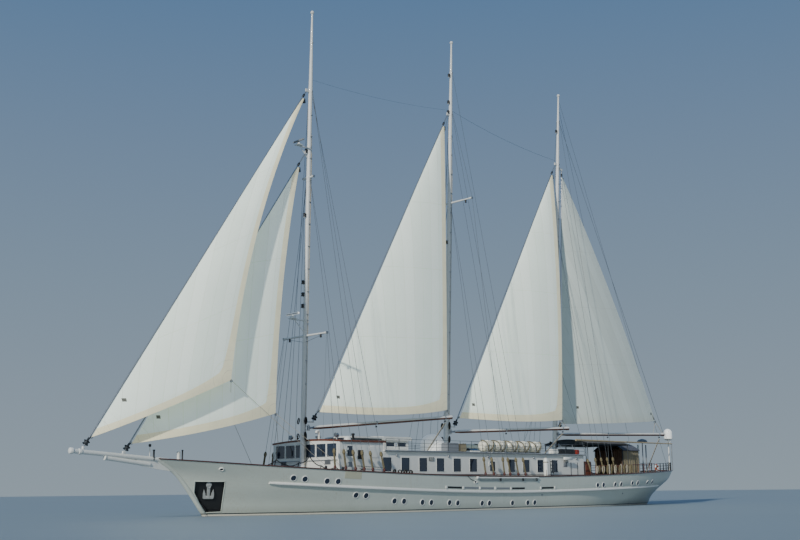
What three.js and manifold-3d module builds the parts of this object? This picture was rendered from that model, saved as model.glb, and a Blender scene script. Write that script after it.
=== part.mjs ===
// Three-masted staysail schooner with furling staysails, afloat, as a half-size model.
// Every dimension below is in metres of the full-size ship. SCALE turns them into model millimetres.
// X runs forward, Y to port and Z up. The origin is on the waterline, under the main mast.
import * as THREE from 'three';
import { mergeVertices } from 'three/addons/utils/BufferGeometryUtils.js';
import Module from 'manifold-3d';

const wasm = await Module();
wasm.setup();

// Driving dimensions
const SCALE = 500;
const SEAT = 0.0006;
const HALF_BEAM = 4.9;
const BULWARK_HEIGHT = 0.92;
const BULWARK_THICK = 0.14;
const MIDSHIP_SHEER = 2.62;
const HOUSE_HALF = 3.78;
const WALL = 0.12;
const MAST_RADIUS = 0.19;
const BOOM_RADIUS = 0.14;
const SAIL_THICK = 0.03;
const STAY_RADIUS = 0.045;
const KEEL_SOLE = -4.2;

// Colours and finishes
const FINISH = {
  hullWhite: [0xd9dcd2, 0.35, 0],
  deckTeak: [0x9c7a52, 0.7, 0],
  railBrown: [0x4a2a1c, 0.45, 0],
  houseWhite: [0xe8e9e2, 0.4, 0],
  glassDark: [0x141d2b, 0.08, 0],
  mastWhite: [0xd8d8d2, 0.4, 0.1],
  boomWhite: [0xe6e3da, 0.4, 0],
  sailWhite: [0xe9e8df, 0.85, 0],
  steelGrey: [0x8f9496, 0.4, 0.8],
  raftCream: [0xe9e3c8, 0.5, 0],
  bronze: [0x9a6c34, 0.35, 0.9],
  darkCloth: [0x2c2723, 0.9, 0],
  antifoul: [0x5b2320, 0.7, 0],
};

const ship = new THREE.Group();

function addPiece(name, geometry, finish) {
  const [color, roughness, metalness] = FINISH[finish];
  const material = new THREE.MeshStandardMaterial({ color, roughness, metalness });
  const piece = new THREE.Mesh(geometry.scale(SCALE, SCALE, SCALE), material);
  piece.name = name;
  ship.add(piece);
}

// Solids: a closed geometry turns into a solid for cutting and joining, and back
function solid(geometry) {
  const bare = geometry.index ? geometry.toNonIndexed() : geometry.clone();
  bare.deleteAttribute('normal');
  bare.deleteAttribute('uv');
  const merged = mergeVertices(bare, 1e-5);
  const kept = [];
  const index = merged.index.array;
  for (let i = 0; i < index.length; i += 3) {
    const [a, b, c] = [index[i], index[i + 1], index[i + 2]];
    if (a !== b && b !== c && a !== c) kept.push(a, b, c);
  }
  const facing = (triVerts) => {
    const mesh = new wasm.Mesh({
      numProp: 3,
      vertProperties: new Float32Array(merged.attributes.position.array),
      triVerts: new Uint32Array(triVerts),
    });
    mesh.merge();
    return new wasm.Manifold(mesh);
  };
  const built = facing(kept);
  return built.volume() > 0 ? built : facing(kept.reverse());
}

function geometryOf(manifold) {
  const mesh = manifold.getMesh();
  const geometry = new THREE.BufferGeometry();
  geometry.setAttribute('position', new THREE.BufferAttribute(mesh.vertProperties, 3));
  geometry.setIndex(new THREE.BufferAttribute(mesh.triVerts, 1));
  geometry.computeVertexNormals();
  return geometry;
}

function join(parts) {
  return parts.reduce((sum, part) => sum.add(part));
}

// Simple forms, all as solids in ship metres
function box(x0, x1, y0, y1, z0, z1) {
  const form = new THREE.BoxGeometry(x1 - x0, y1 - y0, z1 - z0);
  form.translate((x0 + x1) / 2, (y0 + y1) / 2, (z0 + z1) / 2);
  return solid(form);
}

function spar(a, b, radiusA, radiusB = radiusA, sides = 10) {
  const from = new THREE.Vector3(...a);
  const to = new THREE.Vector3(...b);
  const along = to.clone().sub(from);
  const form = new THREE.CylinderGeometry(radiusB, radiusA, along.length(), sides);
  const upward = new THREE.Vector3(0, 1, 0);
  const turn = new THREE.Quaternion().setFromUnitVectors(upward, along.clone().normalize());
  form.applyQuaternion(turn);
  form.translate(...from.add(to).multiplyScalar(0.5).toArray());
  return solid(form);
}

function turned(profile, x, y, z, sides = 20) {
  const outline = profile.map(([r, h]) => new THREE.Vector2(r, h));
  const form = new THREE.LatheGeometry(outline, sides);
  form.rotateX(Math.PI / 2);
  form.translate(x, y, z);
  return solid(form);
}

function plate(outline, z0, z1) {
  const shape = new THREE.Shape(outline.map(([x, y]) => new THREE.Vector2(x, y)));
  const form = new THREE.ExtrudeGeometry(shape, { depth: z1 - z0, bevelEnabled: false });
  form.translate(0, 0, z0);
  return solid(form);
}

function profileXZ(outline, halfThick) {
  const shape = new THREE.Shape(outline.map(([x, z]) => new THREE.Vector2(x, z)));
  const form = new THREE.ExtrudeGeometry(shape, { depth: 2 * halfThick, bevelEnabled: false });
  form.rotateX(Math.PI / 2);
  form.translate(0, halfThick, 0);
  return solid(form);
}

// A closed skin from a grid of points: rows of equal length, joined row to row
function gridFaces(rows, flip = false) {
  const corners = [];
  for (let r = 0; r + 1 < rows.length; r += 1) {
    for (let c = 0; c + 1 < rows[r].length; c += 1) {
      const quad = [rows[r][c], rows[r][c + 1], rows[r + 1][c + 1], rows[r + 1][c]];
      const order = flip ? [0, 2, 1, 0, 3, 2] : [0, 1, 2, 0, 2, 3];
      order.forEach((k) => corners.push(...quad[k]));
    }
  }
  return corners;
}

function solidFromCorners(corners) {
  const form = new THREE.BufferGeometry();
  form.setAttribute('position', new THREE.BufferAttribute(new Float32Array(corners), 3));
  return solid(form);
}

// Hull form. Each level is a waterline of the hull, from the keel up. Its height is either fixed (z) or a
// drop below the sheer. Its plan narrows forward of FORE_SHOULDER and aft of AFT_SHOULDER by 1 - u^power,
// raised to the fullness.
const FORE_SHOULDER = 6;
const AFT_SHOULDER = -8;
const STATIONS = 28;
const level = (rule, stem, stern, half, forePower, foreFull, aftPower, aftFull) => (
  { rule, stem, stern, half, forePower, foreFull, aftPower, aftFull });
const fixed = (z) => () => z;
const ofSheer = (share) => (x) => share * sheer(x);
const below = (drop) => (x) => sheer(x) - drop;
const HULL_LEVELS = [
  level(fixed(-3.5), 12.5, -12.0, 0.35, 2.0, 1.0, 2.0, 1.0),
  level(fixed(-3.25), 16.4, -16.5, 1.9, 2.0, 1.2, 2.0, 1.2),
  level(fixed(-2.5), 19.4, -20.5, 3.35, 2.0, 1.2, 2.0, 1.2),
  level(fixed(-1.5), 21.3, -24.2, 4.2, 2.0, 1.15, 2.1, 1.15),
  level(fixed(-0.7), 22.5, -26.8, 4.5, 2.0, 1.1, 2.2, 1.05),
  level(fixed(0), 23.3, -28.3, 4.65, 2.0, 1.1, 2.2, 1.0),
  level(ofSheer(0.28), 24.1, -29.1, 4.75, 2.2, 1.05, 2.4, 0.85),
  level(ofSheer(0.52), 24.8, -30.0, 4.83, 2.4, 0.95, 2.7, 0.7),
  level(below(BULWARK_HEIGHT), 25.6, -30.8, 4.88, 2.5, 0.9, 2.9, 0.58),
];
const RAIL_LEVEL = level(below(0), 27.05, -31.3, HALF_BEAM, 2.6, 0.85, 3.0, 0.5);
const DECK_LEVEL = HULL_LEVELS[HULL_LEVELS.length - 1];

function sheer(x) {
  const forward = Math.max(0, x + 5) / 32;
  const aft = Math.max(0, -5 - x) / 27;
  return MIDSHIP_SHEER + 1.17 * forward ** 2.2 + 0.72 * aft ** 1.6;
}

// Share of the length at a station, 0 at the stern and 1 at the stem, closer together at both ends
function stationShare(station) {
  return 0.5 - 0.5 * Math.cos((Math.PI * station) / STATIONS);
}

function halfBreadth(plan, x) {
  const fore = Math.min(1, Math.max(0, (x - FORE_SHOULDER) / (plan.stem - FORE_SHOULDER)));
  const aft = Math.min(1, Math.max(0, (AFT_SHOULDER - x) / (AFT_SHOULDER - plan.stern)));
  const foreShare = (1 - fore ** plan.forePower) ** plan.foreFull;
  return plan.half * foreShare * (1 - aft ** plan.aftPower) ** plan.aftFull;
}

function levelRow(plan, side, inset = 0, lift = 0) {
  const row = [];
  for (let station = 0; station <= STATIONS; station += 1) {
    const share = stationShare(station);
    const x = plan.stern + inset + share * (plan.stem - plan.stern - 2.6 * inset);
    const outer = plan.stern + share * (plan.stem - plan.stern);
    const end = station === 0 || station === STATIONS;
    const y = end ? 0 : Math.max(0.002, halfBreadth(plan, outer) - inset);
    row.push([x, side * y, plan.rule(x) + lift]);
  }
  return row;
}

function centreRow(plan, camber) {
  const row = levelRow(plan, 1);
  return row.map(([x, y, z]) => [x, 0, z + (camber * y) / HALF_BEAM]);
}

// Hull: the plated body up to the deck, with the anchor pockets cut into both bows and the rudder port below
const DECK_CAMBER = 0.08;

function hullBody() {
  const port = [centreRow(HULL_LEVELS[0], 0), ...HULL_LEVELS.map((plan) => levelRow(plan, 1)),
    centreRow(DECK_LEVEL, DECK_CAMBER)];
  const starboard = port.map((row) => row.map(([x, y, z]) => [x, -y, z]));
  return solidFromCorners([...gridFaces(port), ...gridFaces(starboard, true)]);
}

const deckHeight = (x) => sheer(x) - BULWARK_HEIGHT + DECK_CAMBER;
const RUDDER_AXIS = -25.6;
const RUDDER_PORT_Z = -1.2;

// Anchor pockets, each in its own frame on the flared bow: along runs forward, up runs up the plating and
// inward runs into the hull. The outline is in along and up.
const POCKET = {
  place: [23.35, 0.62, 1.25],
  along: [0.866, -0.5, 0],
  up: [0.227, 0.393, 0.891],
  inward: [-0.4455, -0.7716, 0.454],
  depth: 0.25,
  outline: [[0.76, 1.066], [-1.007, 1.066], [-0.833, -1.01], [0.253, -1.01], [0.85, 0.28]],
};
const ontoBow = (part) => part.transform([...POCKET.along, 0, ...POCKET.up, 0, ...POCKET.inward, 0,
  ...POCKET.place, 1]);
const mirrored = (part) => part.mirror([0, 1, 0]);

const hullShape = hullBody();
const rudderPort = spar([RUDDER_AXIS, 0, RUDDER_PORT_Z], [RUDDER_AXIS, 0, -0.1], 0.24);

const portPocket = ontoBow(plate(POCKET.outline, -1, POCKET.depth));
const hull = hullShape.add(rudderPort).subtract(portPocket).subtract(mirrored(portPocket));
const hullSeat = hullShape.translate(0, 0, SEAT);
addPiece('hull', geometryOf(hull), 'hullWhite');

// Bulwarks, one each side: plating from the deck edge to the rail
const RAIL_CAP_THICK = 0.08;

function bulwarkRows(side, bottomLift, topDrop, inset, plan = RAIL_LEVEL) {
  const lowOut = levelRow(DECK_LEVEL, side, 0, bottomLift);
  const highOut = levelRow(plan, side, 0, -topDrop);
  const highIn = levelRow(plan, side, inset, -topDrop);
  const lowIn = levelRow(DECK_LEVEL, side, inset, bottomLift);
  return [lowOut, highOut, highIn, lowIn, lowOut];
}

function closedLoft(rows, flip) {
  const first = rows.slice(0, 4).map((row) => row[0]);
  const last = rows.slice(0, 4).map((row) => row[row.length - 1]);
  const cap = (ring, turn) => {
    const order = turn ? [0, 2, 1, 0, 3, 2] : [0, 1, 2, 0, 2, 3];
    return order.flatMap((k) => ring[k]);
  };
  return solidFromCorners([...gridFaces(rows, flip), ...cap(first, flip), ...cap(last, !flip)]);
}

// Rows of one side of the ship, from just off the centreline at the stern to just off it at the stem
function sideLoft(rows, side) {
  const kept = rows.map((row) => row.map(([x, y, z]) => [x, side * Math.max(Math.abs(y), SEAT), z]));
  return closedLoft(kept, side < 0);
}

const bulwarks = {};
[['port', 1], ['starboard', -1]].forEach(([sideName, side]) => {
  const rows = bulwarkRows(side, SEAT * 2, RAIL_CAP_THICK, BULWARK_THICK);
  bulwarks[sideName] = sideLoft(rows, side).subtract(hullSeat);
  addPiece(`bulwark_${sideName}`, geometryOf(bulwarks[sideName]), 'hullWhite');
});

// Cap rails: brown timber along the top of each bulwark, standing a little proud of the plating
const RAIL_LIP = 0.05;
const RAIL_CAP_WIDE = 0.26;
const widerRail = (stern) => ({
  ...RAIL_LEVEL, half: RAIL_LEVEL.half + RAIL_LIP, stem: RAIL_LEVEL.stem + RAIL_LIP, stern,
});

function capRows(side) {
  const low = -RAIL_CAP_THICK + SEAT;
  const wide = widerRail(RAIL_LEVEL.stern - RAIL_LIP);
  return [levelRow(wide, side, 0, low), levelRow(wide, side, 0, 0), levelRow(wide, side, RAIL_CAP_WIDE, 0),
    levelRow(wide, side, RAIL_CAP_WIDE, low), levelRow(wide, side, 0, low)];
}
[['port', 1], ['starboard', -1]].forEach(([sideName, side]) => {
  addPiece(`cap_rail_${sideName}`, geometryOf(sideLoft(capRows(side), side)), 'railBrown');
});

// Rubbing strakes: a half-round ledge along each side, lower amidships than at the ends
const STRAKE = { fore: 21.6, aft: -26.6, steps: 24, out: 0.16, high: 0.16 };

function strakeHeight(x) {
  const forward = Math.max(0, x + 3) / 24.6;
  const aft = Math.max(0, -3 - x) / 23.6;
  return 1.36 + 0.75 * forward ** 1.7 + 0.42 * aft ** 1.7;
}

// Hull breadth at any height: between the two levels that lie below and above it
function breadthAt(x, z) {
  const levels = [...HULL_LEVELS, RAIL_LEVEL];
  const upper = levels.findIndex((plan) => plan.rule(x) > z);
  const low = levels[upper - 1];
  const high = levels[upper];
  const share = (z - low.rule(x)) / (high.rule(x) - low.rule(x));
  return halfBreadth(low, x) + share * (halfBreadth(high, x) - halfBreadth(low, x));
}

function strake(side) {
  const rows = [[], [], [], []];
  for (let step = 0; step <= STRAKE.steps; step += 1) {
    const x = STRAKE.aft + ((STRAKE.fore - STRAKE.aft) * step) / STRAKE.steps;
    const z = strakeHeight(x);
    const y = breadthAt(x, z);
    const taper = Math.min(1, (STRAKE.fore - x) / 1.5 + 0.15, (x - STRAKE.aft) / 1.5 + 0.15);
    const high = 0.5 * STRAKE.high * taper;
    rows[0].push([x, side * (y - 0.3), z - high]);
    rows[1].push([x, side * (y + STRAKE.out * taper), z - 0.6 * high]);
    rows[2].push([x, side * (y + STRAKE.out * taper), z + 0.6 * high]);
    rows[3].push([x, side * (y - 0.3), z + high]);
  }
  return closedLoft([...rows, rows[0]], side < 0);
}

const hullSkin = hullShape.scale([1, 1 + 2 * SEAT / HALF_BEAM, 1]);
[['port', 1], ['starboard', -1]].forEach(([sideName, side]) => {
  const ledge = strake(side).subtract(hullSkin).subtract(bulwarks[sideName].scale([1, 1.0002, 1]));
  addPiece(`rubbing_strake_${sideName}`, geometryOf(ledge), 'hullWhite');
});

// Keel, deadwood and the sole under the rudder, with the stern tube
const SHAFT_Z = -2.8;
const keelOutline = [[13.6, -2.2], [12.6, KEEL_SOLE], [-26.3, KEEL_SOLE], [-26.3, -3.98], [-23.3, -3.98],
  [-22.8, -1.2]];
const sternTube = spar([-22.4, 0, SHAFT_Z], [-23.25, 0, SHAFT_Z], 0.24, 0.2);
const keel = profileXZ(keelOutline, 0.16).add(sternTube).subtract(hullShape.translate(0, 0, -SEAT));
addPiece('keel', geometryOf(keel), 'antifoul');

// Rudder: blade and stock, turning in the rudder port of the hull
const rudderOutline = [[-24.95, -3.9], [-24.95, -1.5], [-25.3, -1.34], [-26.5, -1.34], [-27.0, -1.7],
  [-27.0, -3.9]];
const rudderStock = spar([RUDDER_AXIS, 0, -1.5], [RUDDER_AXIS, 0, RUDDER_PORT_Z - SEAT], 0.14);
const rudderHeel = spar([RUDDER_AXIS, 0, -3.98 + SEAT], [RUDDER_AXIS, 0, -3.8], 0.08);
addPiece('rudder', geometryOf(join([profileXZ(rudderOutline, 0.09), rudderStock, rudderHeel])), 'antifoul');

// Propeller: hub on the shaft and four pitched blades
const PROPELLER = { x: -23.53, blades: 4, pitchDeg: 38 };
const hub = join([
  spar([-23.25 - SEAT, 0, SHAFT_Z], [-23.75, 0, SHAFT_Z], 0.16),
  spar([-23.75, 0, SHAFT_Z], [-23.95, 0, SHAFT_Z], 0.16, 0.05),
]);
function blade(turnDeg) {
  const outline = [[-0.09, 0.1], [-0.25, 0.5], [-0.22, 0.85], [-0.08, 0.95], [0.08, 0.95], [0.22, 0.85],
    [0.25, 0.5], [0.09, 0.1]];
  const flat = profileXZ(outline, 0.025).rotate(0, 0, PROPELLER.pitchDeg);
  return flat.rotate(turnDeg, 0, 0).translate(PROPELLER.x, 0, SHAFT_Z);
}
const blades = Array.from({ length: PROPELLER.blades }, (_, k) => blade((360 / PROPELLER.blades) * k));
addPiece('propeller', geometryOf(join([hub, ...blades])), 'bronze');

// Bowsprit: main tube, the smaller tube below it, the beak where both meet the stem, and a lug for each stay
const SPRIT = { tip: [33.2, 0, 4.17], heel: [26.2, 0, 3.64], radius: 0.15 };
const LUGS = {
  outerFoot: [32.25, 32.42, 4.05, 4.46],
  innerFoot: [29.38, 29.6, 3.85, 4.2],
  outerHead: [14.25, 14.82, 31.8, 32.05],
  innerHead: [14.35, 14.88, 26.8, 27.05],
  mainFoot: [13.86, 14.75, 6.5, 6.6],
  mainHead: [-1.45, -0.95, 33.5, 33.75],
  mizzenFoot: [-1.22, -0.3, 6.6, 6.7],
  mizzenHead: [-16.25, -15.76, 31.9, 32.15],
  aftFoot: [-15.22, -14.4, 6.75, 6.85],
  aftHead: [-16.92, -16.2, 31.5, 31.75],
};
const LUG_HALF = 0.05;
const lug = (name, grow = 0) => {
  const [x0, x1, z0, z1] = LUGS[name];
  return box(x0 - grow, x1 + grow, -LUG_HALF - grow, LUG_HALF + grow, z0 - grow, z1 + grow);
};

function bowEnvelope() {
  const wide = widerRail(RAIL_LEVEL.stern);
  const plated = HULL_LEVELS.map((plan) => levelRow(plan, 1));
  const port = [centreRow(HULL_LEVELS[0], 0), ...plated, levelRow(wide, 1), centreRow(wide, 0)];
  const starboard = port.map((row) => row.map(([x, y, z]) => [x, -y, z]));
  return solidFromCorners([...gridFaces(port), ...gridFaces(starboard, true)]);
}
const beakOutline = [[26.3, 3.6], [28.7, 3.82], [28.3, 3.3], [26.9, 3.05], [26.0, 2.95]];
const grown = (part) => join([[1, 0, 0], [-1, 0, 0], [0, 1, 0], [0, -1, 0], [0, 0, 1], [0, 0, -1]].map(
  ([x, y, z]) => part.translate(x * SEAT, y * SEAT, z * SEAT)));
const sprit = join([
  spar(SPRIT.heel, SPRIT.tip, SPRIT.radius, SPRIT.radius, 16),
  spar([30.8, 0, 3.8], [27.6, 0, 3.4], 0.1),
  spar([33.1, 0, 4.16], [33.25, 0, 4.172], 0.2),
  spar([32.5, 0, 4.116], [32.68, 0, 4.13], 0.19),
  profileXZ(beakOutline, 0.12),
  lug('outerFoot'),
  lug('innerFoot'),
]);
const bow = join([
  bowEnvelope().translate(SEAT, 0, SEAT), grown(bulwarks.port), grown(bulwarks.starboard),
  box(20, 27.1 + SEAT, -1, 1, 3.6, 5),
]);
addPiece('bowsprit', geometryOf(sprit.subtract(bow)), 'hullWhite');

// Cambered roofs: a plate arched across the ship, highest on the centreline
const roofSpec = (aft, fore, half, edge, camber, thick) => ({ aft, fore, half, edge, camber, thick });
const ROOFS = {
  deckhouse: roofSpec(-13.6, 10.44, 3.92, 4.38, 0.12, 0.08),
  wheelhouse: roofSpec(10.3, 14.66, 3.9, 4.98, 0.16, 0.13),
  shelter: roofSpec(5.5, 8.55, 1.72, 5.3, 0.06, 0.28),
  awning: roofSpec(-22.15, -15.8, 2.5, 5.5, 0.4, 0.04),
  pavilion: roofSpec(-25.05, -22.25, 1.72, 4.95, 0.7, 0.08),
};

function roofPlate({ aft, fore, half, edge, camber, thick }) {
  const steps = 10;
  const arch = [];
  for (let step = 0; step <= steps; step += 1) {
    const y = -half + (2 * half * step) / steps;
    arch.push([y, edge + camber * (1 - (y / half) ** 2)]);
  }
  const outline = [...arch, ...arch.map(([y, z]) => [y, z + thick]).reverse()];
  const shape = new THREE.Shape(outline.map(([y, z]) => new THREE.Vector2(y, z)));
  const form = new THREE.ExtrudeGeometry(shape, { depth: fore - aft, bevelEnabled: false });
  form.rotateX(Math.PI / 2);
  form.rotateZ(Math.PI / 2);
  form.translate(aft, 0, 0);
  return solid(form);
}
const FILL = 4;
const upTo = (roof) => roofPlate({ ...roof, edge: roof.edge - FILL, thick: roof.thick + FILL + SEAT });
const fromUnder = (roof) => roofPlate({ ...roof, edge: roof.edge - SEAT, thick: FILL });
const seatOn = (part, roof) => part.subtract(upTo(roof));
const seatUnder = (part, roof) => part.subtract(fromUnder(roof));
const seatOnDeck = (part) => part.subtract(hullSeat);

// Deckhouses: walls on the deck with their windows and doors cut, a cambered roof on each
const DECKHOUSE = { aft: -13.4, fore: 10.44, top: 4.4 };
const WHEELHOUSE = { aft: 10.44 + SEAT, fore: 14.64, top: 5.0 };
const WINDOW = { wide: 0.81, bottom: 2.95, top: 3.92, pitch: 1.855 };
const FORE_BANK = { first: 10.06, count: 6 };
const AFT_BANK = { first: -3.79, count: 4 };
const FRONT_WINDOW = { wide: 0.98, pitch: 1.17, count: 6, bottom: 3.98, top: 4.86 };
const DOORS = {
  deckhouse: { aft: -1.87, fore: -1.07, bottom: 1.84, top: 3.92 },
  wheelhouse: { aft: 13.32, fore: 14.02, bottom: 3.04, top: 4.84 },
};
const DOOR_GAP = 0.012;
const HINGE = { radius: 0.022, ahead: 0.03, out: 0.03, high: 0.16 };

const windowCentres = (bank) => Array.from({ length: bank.count }, (_, k) => bank.first - k * WINDOW.pitch);

function wallsOf(house) {
  const outer = box(house.aft, house.fore, -HOUSE_HALF, HOUSE_HALF, 1.2, house.top + 0.4);
  const side = HOUSE_HALF - WALL;
  const inner = box(house.aft + WALL, house.fore - WALL, -side, side, 1, house.top + 0.6);
  return outer.subtract(inner);
}

function doorHole(door) {
  const reach = HOUSE_HALF + 1;
  const [low, high] = [door.bottom - DOOR_GAP, door.top + DOOR_GAP];
  return box(door.aft - DOOR_GAP, door.fore + DOOR_GAP, -reach, reach, low, high);
}

// Hinge line of a door, at its forward edge just outside the wall. The leaf carries the middle barrel and
// the wall carries the ones above and below it.
const hingeLine = (door) => [door.fore + HINGE.ahead, HOUSE_HALF + HINGE.out];
const hingeHeights = (door) => [door.bottom + 0.35, door.top - 0.35];

function hingeBarrels(door) {
  const [x, y] = hingeLine(door);
  return hingeHeights(door).flatMap((z) => [-1, 1].map((end) => {
    const near = z + end * (HINGE.high / 2 + SEAT);
    const far = near + end * 0.09;
    const barrel = spar([x, y, near], [x, y, far], HINGE.radius);
    const foot = box(x - 0.012, x + 0.03, HOUSE_HALF - 0.02, y, Math.min(near, far), Math.max(near, far));
    return barrel.add(foot);
  }));
}

function doorLeaf(door, windowBottom, windowTop) {
  const [x, y] = hingeLine(door);
  const leaf = box(door.aft, door.fore, HOUSE_HALF - WALL, HOUSE_HALF, door.bottom, door.top);
  const pane = box(door.aft + 0.14, door.fore - 0.14, HOUSE_HALF - 0.03, HOUSE_HALF + 1, windowBottom,
    windowTop);
  const grip = door.bottom + 0.85;
  const handle = box(door.aft + 0.05, door.aft + 0.09, HOUSE_HALF - 0.01, HOUSE_HALF + 0.05, grip,
    grip + 0.2);
  const straps = hingeHeights(door).flatMap((z) => [
    box(door.fore - 0.2, x, HOUSE_HALF - 0.01, HOUSE_HALF + 0.012, z - HINGE.high / 2, z + HINGE.high / 2)
      .subtract(box(door.fore, x, HOUSE_HALF - 0.02, HOUSE_HALF + 0.006, 0, 9)),
    spar([x, y, z - HINGE.high / 2], [x, y, z + HINGE.high / 2], HINGE.radius),
  ]);
  return join([leaf.subtract(pane), handle, ...straps]);
}

const windowHole = (x) => {
  const [half, reach] = [WINDOW.wide / 2, HOUSE_HALF + 1];
  return box(x - half, x + half, -reach, reach, WINDOW.bottom, WINDOW.top);
};
const sideWindows = [...windowCentres(FORE_BANK), ...windowCentres(AFT_BANK)].map(windowHole);
const houseBarrels = hingeBarrels(DOORS.deckhouse);
const deckhouseHoles = join([...sideWindows, doorHole(DOORS.deckhouse)]);
const deckhouseWalls = seatOnDeck(seatUnder(wallsOf(DECKHOUSE), ROOFS.deckhouse).subtract(deckhouseHoles));
// The walls are two sections, which meet at the forward edge of the side doors
const wallSeam = DOORS.deckhouse.fore + DOOR_GAP;
const aheadOf = (x) => box(x, x + 60, -9, 9, 0, 9);
const behind = (x) => box(x - 60, x, -9, 9, 0, 9);
const foreWalls = join([
  deckhouseWalls.subtract(behind(wallSeam)), ...houseBarrels, ...houseBarrels.map(mirrored),
]);
addPiece('deckhouse_walls_fore', geometryOf(foreWalls), 'houseWhite');
addPiece('deckhouse_walls_aft', geometryOf(deckhouseWalls.subtract(aheadOf(wallSeam - SEAT))), 'houseWhite');
addPiece('deckhouse_roof', geometryOf(roofPlate(ROOFS.deckhouse)), 'houseWhite');

const frontWindows = Array.from({ length: FRONT_WINDOW.count }, (_, k) => {
  const y = (k - (FRONT_WINDOW.count - 1) / 2) * FRONT_WINDOW.pitch;
  const half = FRONT_WINDOW.wide / 2;
  return box(14.2, 15, y - half, y + half, FRONT_WINDOW.bottom, FRONT_WINDOW.top);
});
const bridgeBarrels = hingeBarrels(DOORS.wheelhouse);
const wheelhouseWalls = join([
  seatUnder(wallsOf(WHEELHOUSE), ROOFS.wheelhouse)
    .subtract(join([...frontWindows, doorHole(DOORS.wheelhouse)])),
  ...bridgeBarrels, ...bridgeBarrels.map(mirrored),
]);
addPiece('wheelhouse_walls', geometryOf(seatOnDeck(wheelhouseWalls)), 'houseWhite');
addPiece('wheelhouse_roof', geometryOf(roofPlate(ROOFS.wheelhouse)), 'railBrown');

const deckhouseDoor = doorLeaf(DOORS.deckhouse, 3.0, 3.75);
const wheelhouseDoor = doorLeaf(DOORS.wheelhouse, 3.98, 4.7);
addPiece('deckhouse_door_port', geometryOf(deckhouseDoor), 'houseWhite');
addPiece('deckhouse_door_starboard', geometryOf(mirrored(deckhouseDoor)), 'houseWhite');
addPiece('wheelhouse_door_port', geometryOf(wheelhouseDoor), 'houseWhite');
addPiece('wheelhouse_door_starboard', geometryOf(mirrored(wheelhouseDoor)), 'houseWhite');

// Window glass: one strip behind the windows of each wall
const GLASS_THICK = 0.03;
const glassFace = HOUSE_HALF - WALL - SEAT;
const sideGlass = box(-9.95, 10.3, glassFace - GLASS_THICK, glassFace, WINDOW.bottom - 0.06, 4.2)
  .subtract(box(-2.02, -0.92, 0, 5, 1, 4.0));
addPiece('deckhouse_glass_port', geometryOf(sideGlass), 'glassDark');
addPiece('deckhouse_glass_starboard', geometryOf(mirrored(sideGlass)), 'glassDark');
const frontFace = WHEELHOUSE.fore - WALL - SEAT;
const frontGlass = box(frontFace - GLASS_THICK, frontFace, -3.55, 3.55, FRONT_WINDOW.bottom - 0.06, 4.92);
addPiece('wheelhouse_glass', geometryOf(frontGlass), 'glassDark');

// Bridge shelter: a small glazed house on the deckhouse roof, aft of the wheelhouse, open at its after side
const SHELTER = { aft: 5.72, fore: 8.3, half: 1.55, top: 5.5 };
const shelterShell = box(SHELTER.aft, SHELTER.fore, -SHELTER.half, SHELTER.half, 4.3, SHELTER.top)
  .subtract(box(SHELTER.aft - 1, SHELTER.fore - 0.08, -SHELTER.half + 0.08, SHELTER.half - 0.08, 4, 6))
  .subtract(box(SHELTER.aft + 0.2, SHELTER.fore - 0.25, -3, 3, 4.85, 5.15))
  .subtract(box(SHELTER.aft + 1, SHELTER.fore + 1, -SHELTER.half + 0.25, SHELTER.half - 0.25, 4.85, 5.15));
const shelterWalls = seatUnder(seatOn(shelterShell, ROOFS.deckhouse), ROOFS.shelter);
addPiece('shelter_walls', geometryOf(shelterWalls), 'houseWhite');
addPiece('shelter_roof', geometryOf(roofPlate(ROOFS.shelter)), 'houseWhite');

// Masts. x is the axis at height z, rake the drift aft for each metre of height.
const MASTS = {
  fore: { x: 14.91, z: 4.72, rake: 0.0215, base: 1.9, hounds: 32.2, top: 38.45 },
  main: { x: -0.17, z: 5.57, rake: 0.0444, base: 4.3, hounds: 33.9, top: 40.35 },
  mizzen: { x: -14.21, z: 5.26, rake: 0.0758, base: 1.6, hounds: 32.3, top: 39.07 },
};
const MAST_CAP = [[0, -0.12], [0.12, -0.09], [0.15, 0.02], [0.1, 0.13], [0, 0.16]];
const mastAt = (mast, z) => mast.x - mast.rake * (z - mast.z);

function mastSpar(mast) {
  const at = (z) => [mastAt(mast, z), 0, z];
  return join([
    spar(at(mast.base), at(mast.hounds), MAST_RADIUS, 0.165, 14),
    spar(at(mast.hounds - 0.1), at(mast.top), 0.16, 0.075, 14),
    spar(at(mast.hounds - 0.15), at(mast.hounds + 0.15), 0.2, 0.2, 14),
    turned(MAST_CAP, mastAt(mast, mast.top), 0, mast.top, 12),
  ]);
}

function spreader(mast, z, half) {
  const x = mastAt(mast, z);
  return join([
    spar([x, -half, z], [x, half, z], 0.075, 0.075, 8),
    spar([x, half - 0.2, z], [x, half, z], 0.09, 0.09, 8),
    spar([x, -half, z], [x, -half + 0.2, z], 0.09, 0.09, 8),
  ]);
}

// Gooseneck: two lugs on the after side of a mast with a pin between them, round which the boom's eye turns
const GOOSENECK = { pinRadius: 0.04, eyeRadius: 0.11, eyeHigh: 0.24, lugThick: 0.06, lugHalf: 0.1 };
function gooseneck(mast, pinX, z) {
  const half = GOOSENECK.eyeHigh / 2 + 2 * SEAT;
  const inside = mastAt(mast, z);
  const { lugHalf, lugThick } = GOOSENECK;
  const lugAt = (z0) => box(pinX - 0.09, inside, -lugHalf, lugHalf, z0, z0 + lugThick);
  return join([
    lugAt(z - half - lugThick),
    lugAt(z + half),
    spar([pinX, 0, z - half - 0.02], [pinX, 0, z + half + 0.02], GOOSENECK.pinRadius),
  ]);
}

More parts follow.
